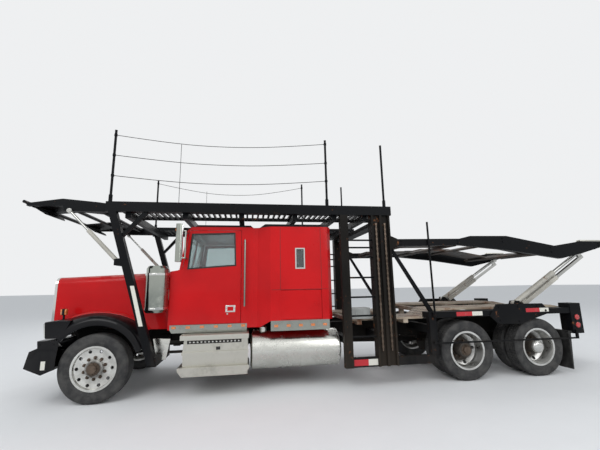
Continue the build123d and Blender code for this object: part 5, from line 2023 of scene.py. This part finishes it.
@dataclass
class Undercarriage:
    """Side frames, low rails, lamps, tapes and running gear."""

    gusset_face: float = 1.262
    # first x, last x, lowest z, highest z, y of the face
    tapes: tuple[Five, ...] = (
        (3.712, 4.092, 0.338, 0.428, 1.26), (5.49, 5.96, 1.012, 1.078, 1.24),
        (6.76, 7.2, 1.04, 1.104, 1.262))
    red_share: float = 0.6
    tail_lamps: Outline = ((7.745, 0.93), (7.745, 0.8))
    column_face: float = 1.25
    # x and y of the lamps that look rearward
    rear_lamps: Pair = (7.85, 1.13)
    # (distance from the face, radius)
    lens: Outline = ((-0.002, 0.0), (-0.002, 0.046), (0.01, 0.043), (0.016, 0.028), (0.018, 0.0))
    ring: Outline = ((-0.002, 0.045), (0.008, 0.05), (0.009, 0.056), (-0.002, 0.058))
    gusset_bolts: Outline = ((6.26, 1.14), (6.26, 0.92), (6.62, 1.14), (6.62, 0.9), (6.98, 1.13),
                             (7.14, 1.06))

    def build_tapes(self) -> None:
        """Model the red and white tapes on both sides."""
        for side, hand in HANDS:
            away = outward(side)
            for part, finish in (("red", RED_TAPE), ("white", WHITE_TAPE)):
                tape = Piece(f"tape_{part}_{hand}", "truck", finish)
                for x0, x1, z0, z1, y in self.tapes:
                    split = x0 + (x1 - x0) * self.red_share
                    low, high = (x0, split) if part == "red" else (split, x1)
                    outline = ((low, z0), (high, z0), (high, z1), (low, z1))
                    tape.plate(in_side_view(outline, side * (y - 0.0005)), away * 0.0013)
                tape.done()

    def build_lamps(self) -> None:
        """Model the tail lamps on the rear columns."""
        x_rear, y_rear = self.rear_lamps
        for side, hand in HANDS:
            lens = Piece(f"tail_lamps_{hand}", "truck", RED_LENS)
            rings = Piece(f"tail_lamp_rings_{hand}", "truck", BLACK_RUBBER_AND_SHADE)
            for x, z in self.tail_lamps:
                for origin, axis in ((place(x, side * self.column_face, z), outward(side)),
                                     (place(x_rear, side * y_rear, z), REARWARD)):
                    lens.lathe(self.lens, origin, axis, 32)
                    rings.lathe(self.ring, origin, axis, 32, closed=True)
            lens.done()
            rings.done()

    def build_bolts(self) -> None:
        """Model the bolts on the gussets and the low rails."""
        for side, hand in HANDS:
            away = outward(side)
            bolts = Piece(f"gusset_bolts_{hand}", "truck", RACK_BLACK)
            for x, z in self.gusset_bolts:
                bolts.bolt(place(x, side * self.gusset_face, z), away, 0.013, 0.011)
            bolts.done()

    def build(self) -> None:
        """Make all the undercarriage's pieces."""
        dress(CHASSIS_BLACK, "chassis_frame", "front_axle", "springs", "drive_axles", "knuckle_left",
              "knuckle_right")
        dress(IRON, "engine_block")
        dress(DECK_STEEL, "lower_deck")
        dress(VALVE_GREY, "valve_box")
        dress(FLAP_RUBBER, "mudflaps")
        self.build_tapes()
        self.build_lamps()
        self.build_bolts()


# Studio

@dataclass
class Studio:
    """Floor, backdrop, lights and the camera at the photograph's place."""

    eye: Triple = (2.107, -6.379, 1.551)
    yaw: float = 0.1574
    pitch: float = 0.181
    roll: float = -0.0186
    lens: float = 19.873
    pale: Colour = (0.86, 0.87, 0.88)
    ambient: float = 0.6
    sky: Colour = (0.92, 0.96, 1.0)
    floor_size: float = 240.0
    sensor: float = 36.0
    sight: float = 500.0
    target: Triple = (3.7, 0.0, 1.3)
    # name, place, size, power
    lamps: tuple[tuple[str, Triple, float, float], ...] = (
        ("key", (-4.0, -11.0, 10.0), 9.0, 900.0), ("fill", (9.0, -10.0, 7.0), 8.0, 380.0),
        ("back", (4.0, 11.0, 9.0), 10.0, 520.0))

    def build_camera(self) -> None:
        """Set the camera where the photograph was taken from."""
        right = Vector((cos(self.yaw), -sin(self.yaw), 0.0))
        level_share = cos(self.pitch)
        ahead = Vector((sin(self.yaw) * level_share, cos(self.yaw) * level_share,
                        sin(self.pitch)))
        over = right.cross(ahead)
        level = right * cos(self.roll) + over * sin(self.roll)
        above = over * cos(self.roll) - right * sin(self.roll)
        camera = bpy.data.objects.new("camera", bpy.data.cameras.new("camera"))
        camera.data.lens = self.lens
        camera.data.sensor_width = self.sensor
        camera.data.clip_end = self.sight
        turned = Matrix((level, above, -ahead)).transposed().to_4x4()
        camera.matrix_world = Matrix.Translation(place(*self.eye)) @ turned
        bpy.context.scene.collection.objects.link(camera)
        bpy.context.scene.camera = camera

    def build_floor(self) -> None:
        """Lay a pale floor that fades into the backdrop and keeps the truck's shadow."""
        mesh = bmesh.new()
        bmesh.ops.create_grid(mesh, x_segments=1, y_segments=1, size=self.floor_size / 2)
        data = bpy.data.meshes.new("floor")
        mesh.to_mesh(data)
        mesh.free()
        shader = Shader("floor")
        speck = shader.noise(3.0, 4.0)
        colour = shader.mix(speck, lighter(self.pale, 0.92), lighter(self.pale, 0.96))
        shader.finish(Base_Color=colour, Roughness=0.9)
        data.materials.append(shader.material)
        floor = bpy.data.objects.new("floor", data)
        bpy.context.scene.collection.objects.link(floor)

    def build_world(self) -> None:
        """Light the object softly, and show the camera, metal and glass a pale backdrop."""
        world = bpy.data.worlds.new("backdrop")
        bpy.context.scene.world = world
        nodes = Nodes(world)
        path = nodes.node("ShaderNodeLightPath", {}, {})
        plain = path.outputs["Is Camera Ray"]
        for kind in ("Is Glossy Ray", "Is Transmission Ray"):
            pair = {0: plain, 1: path.outputs[kind]}
            plain = nodes.node("ShaderNodeMath", {"operation": "MAXIMUM"}, pair).outputs[0]
        seen = nodes.node("ShaderNodeBackground", {}, {"Color": (*self.pale, 1.0)})
        soft = {"Color": (*self.sky, 1.0), "Strength": self.ambient}
        ambient = nodes.node("ShaderNodeBackground", {}, soft)
        blend = nodes.node("ShaderNodeMixShader", {}, {0: plain, 1: ambient.outputs[0], 2: seen.outputs[0]})
        nodes.node("ShaderNodeOutputWorld", {}, {"Surface": blend.outputs[0]})

    def build_lights(self) -> None:
        """Hang three large soft lamps."""
        target = place(*self.target)
        for name, spot, size, power in self.lamps:
            lamp = bpy.data.lights.new(name, "AREA")
            lamp.shape = "SQUARE"
            lamp.size = size
            lamp.energy = power
            holder = bpy.data.objects.new(name, lamp)
            where = place(*spot)
            turned = (target - where).to_track_quat("-Z", "Y").to_matrix().to_4x4()
            holder.matrix_world = Matrix.Translation(where) @ turned
            bpy.context.scene.collection.objects.link(holder)

    def build(self) -> None:
        """Make the whole studio."""
        bpy.context.scene.view_settings.view_transform = "Standard"
        self.build_camera()
        self.build_floor()
        self.build_world()
        self.build_lights()


def main() -> None:
    """Build the studio and every sub-assembly in order."""
    logging.basicConfig(level=logging.INFO, format="%(message)s")
    Studio().build()
    parts = (*all_wheels(), FrontEnd(), Cab(), Seats(), StepsAndTanks(), Rack(), RearDeck(), Undercarriage())
    for part in parts:
        part.build()


if __name__ == "__main__":
    main()
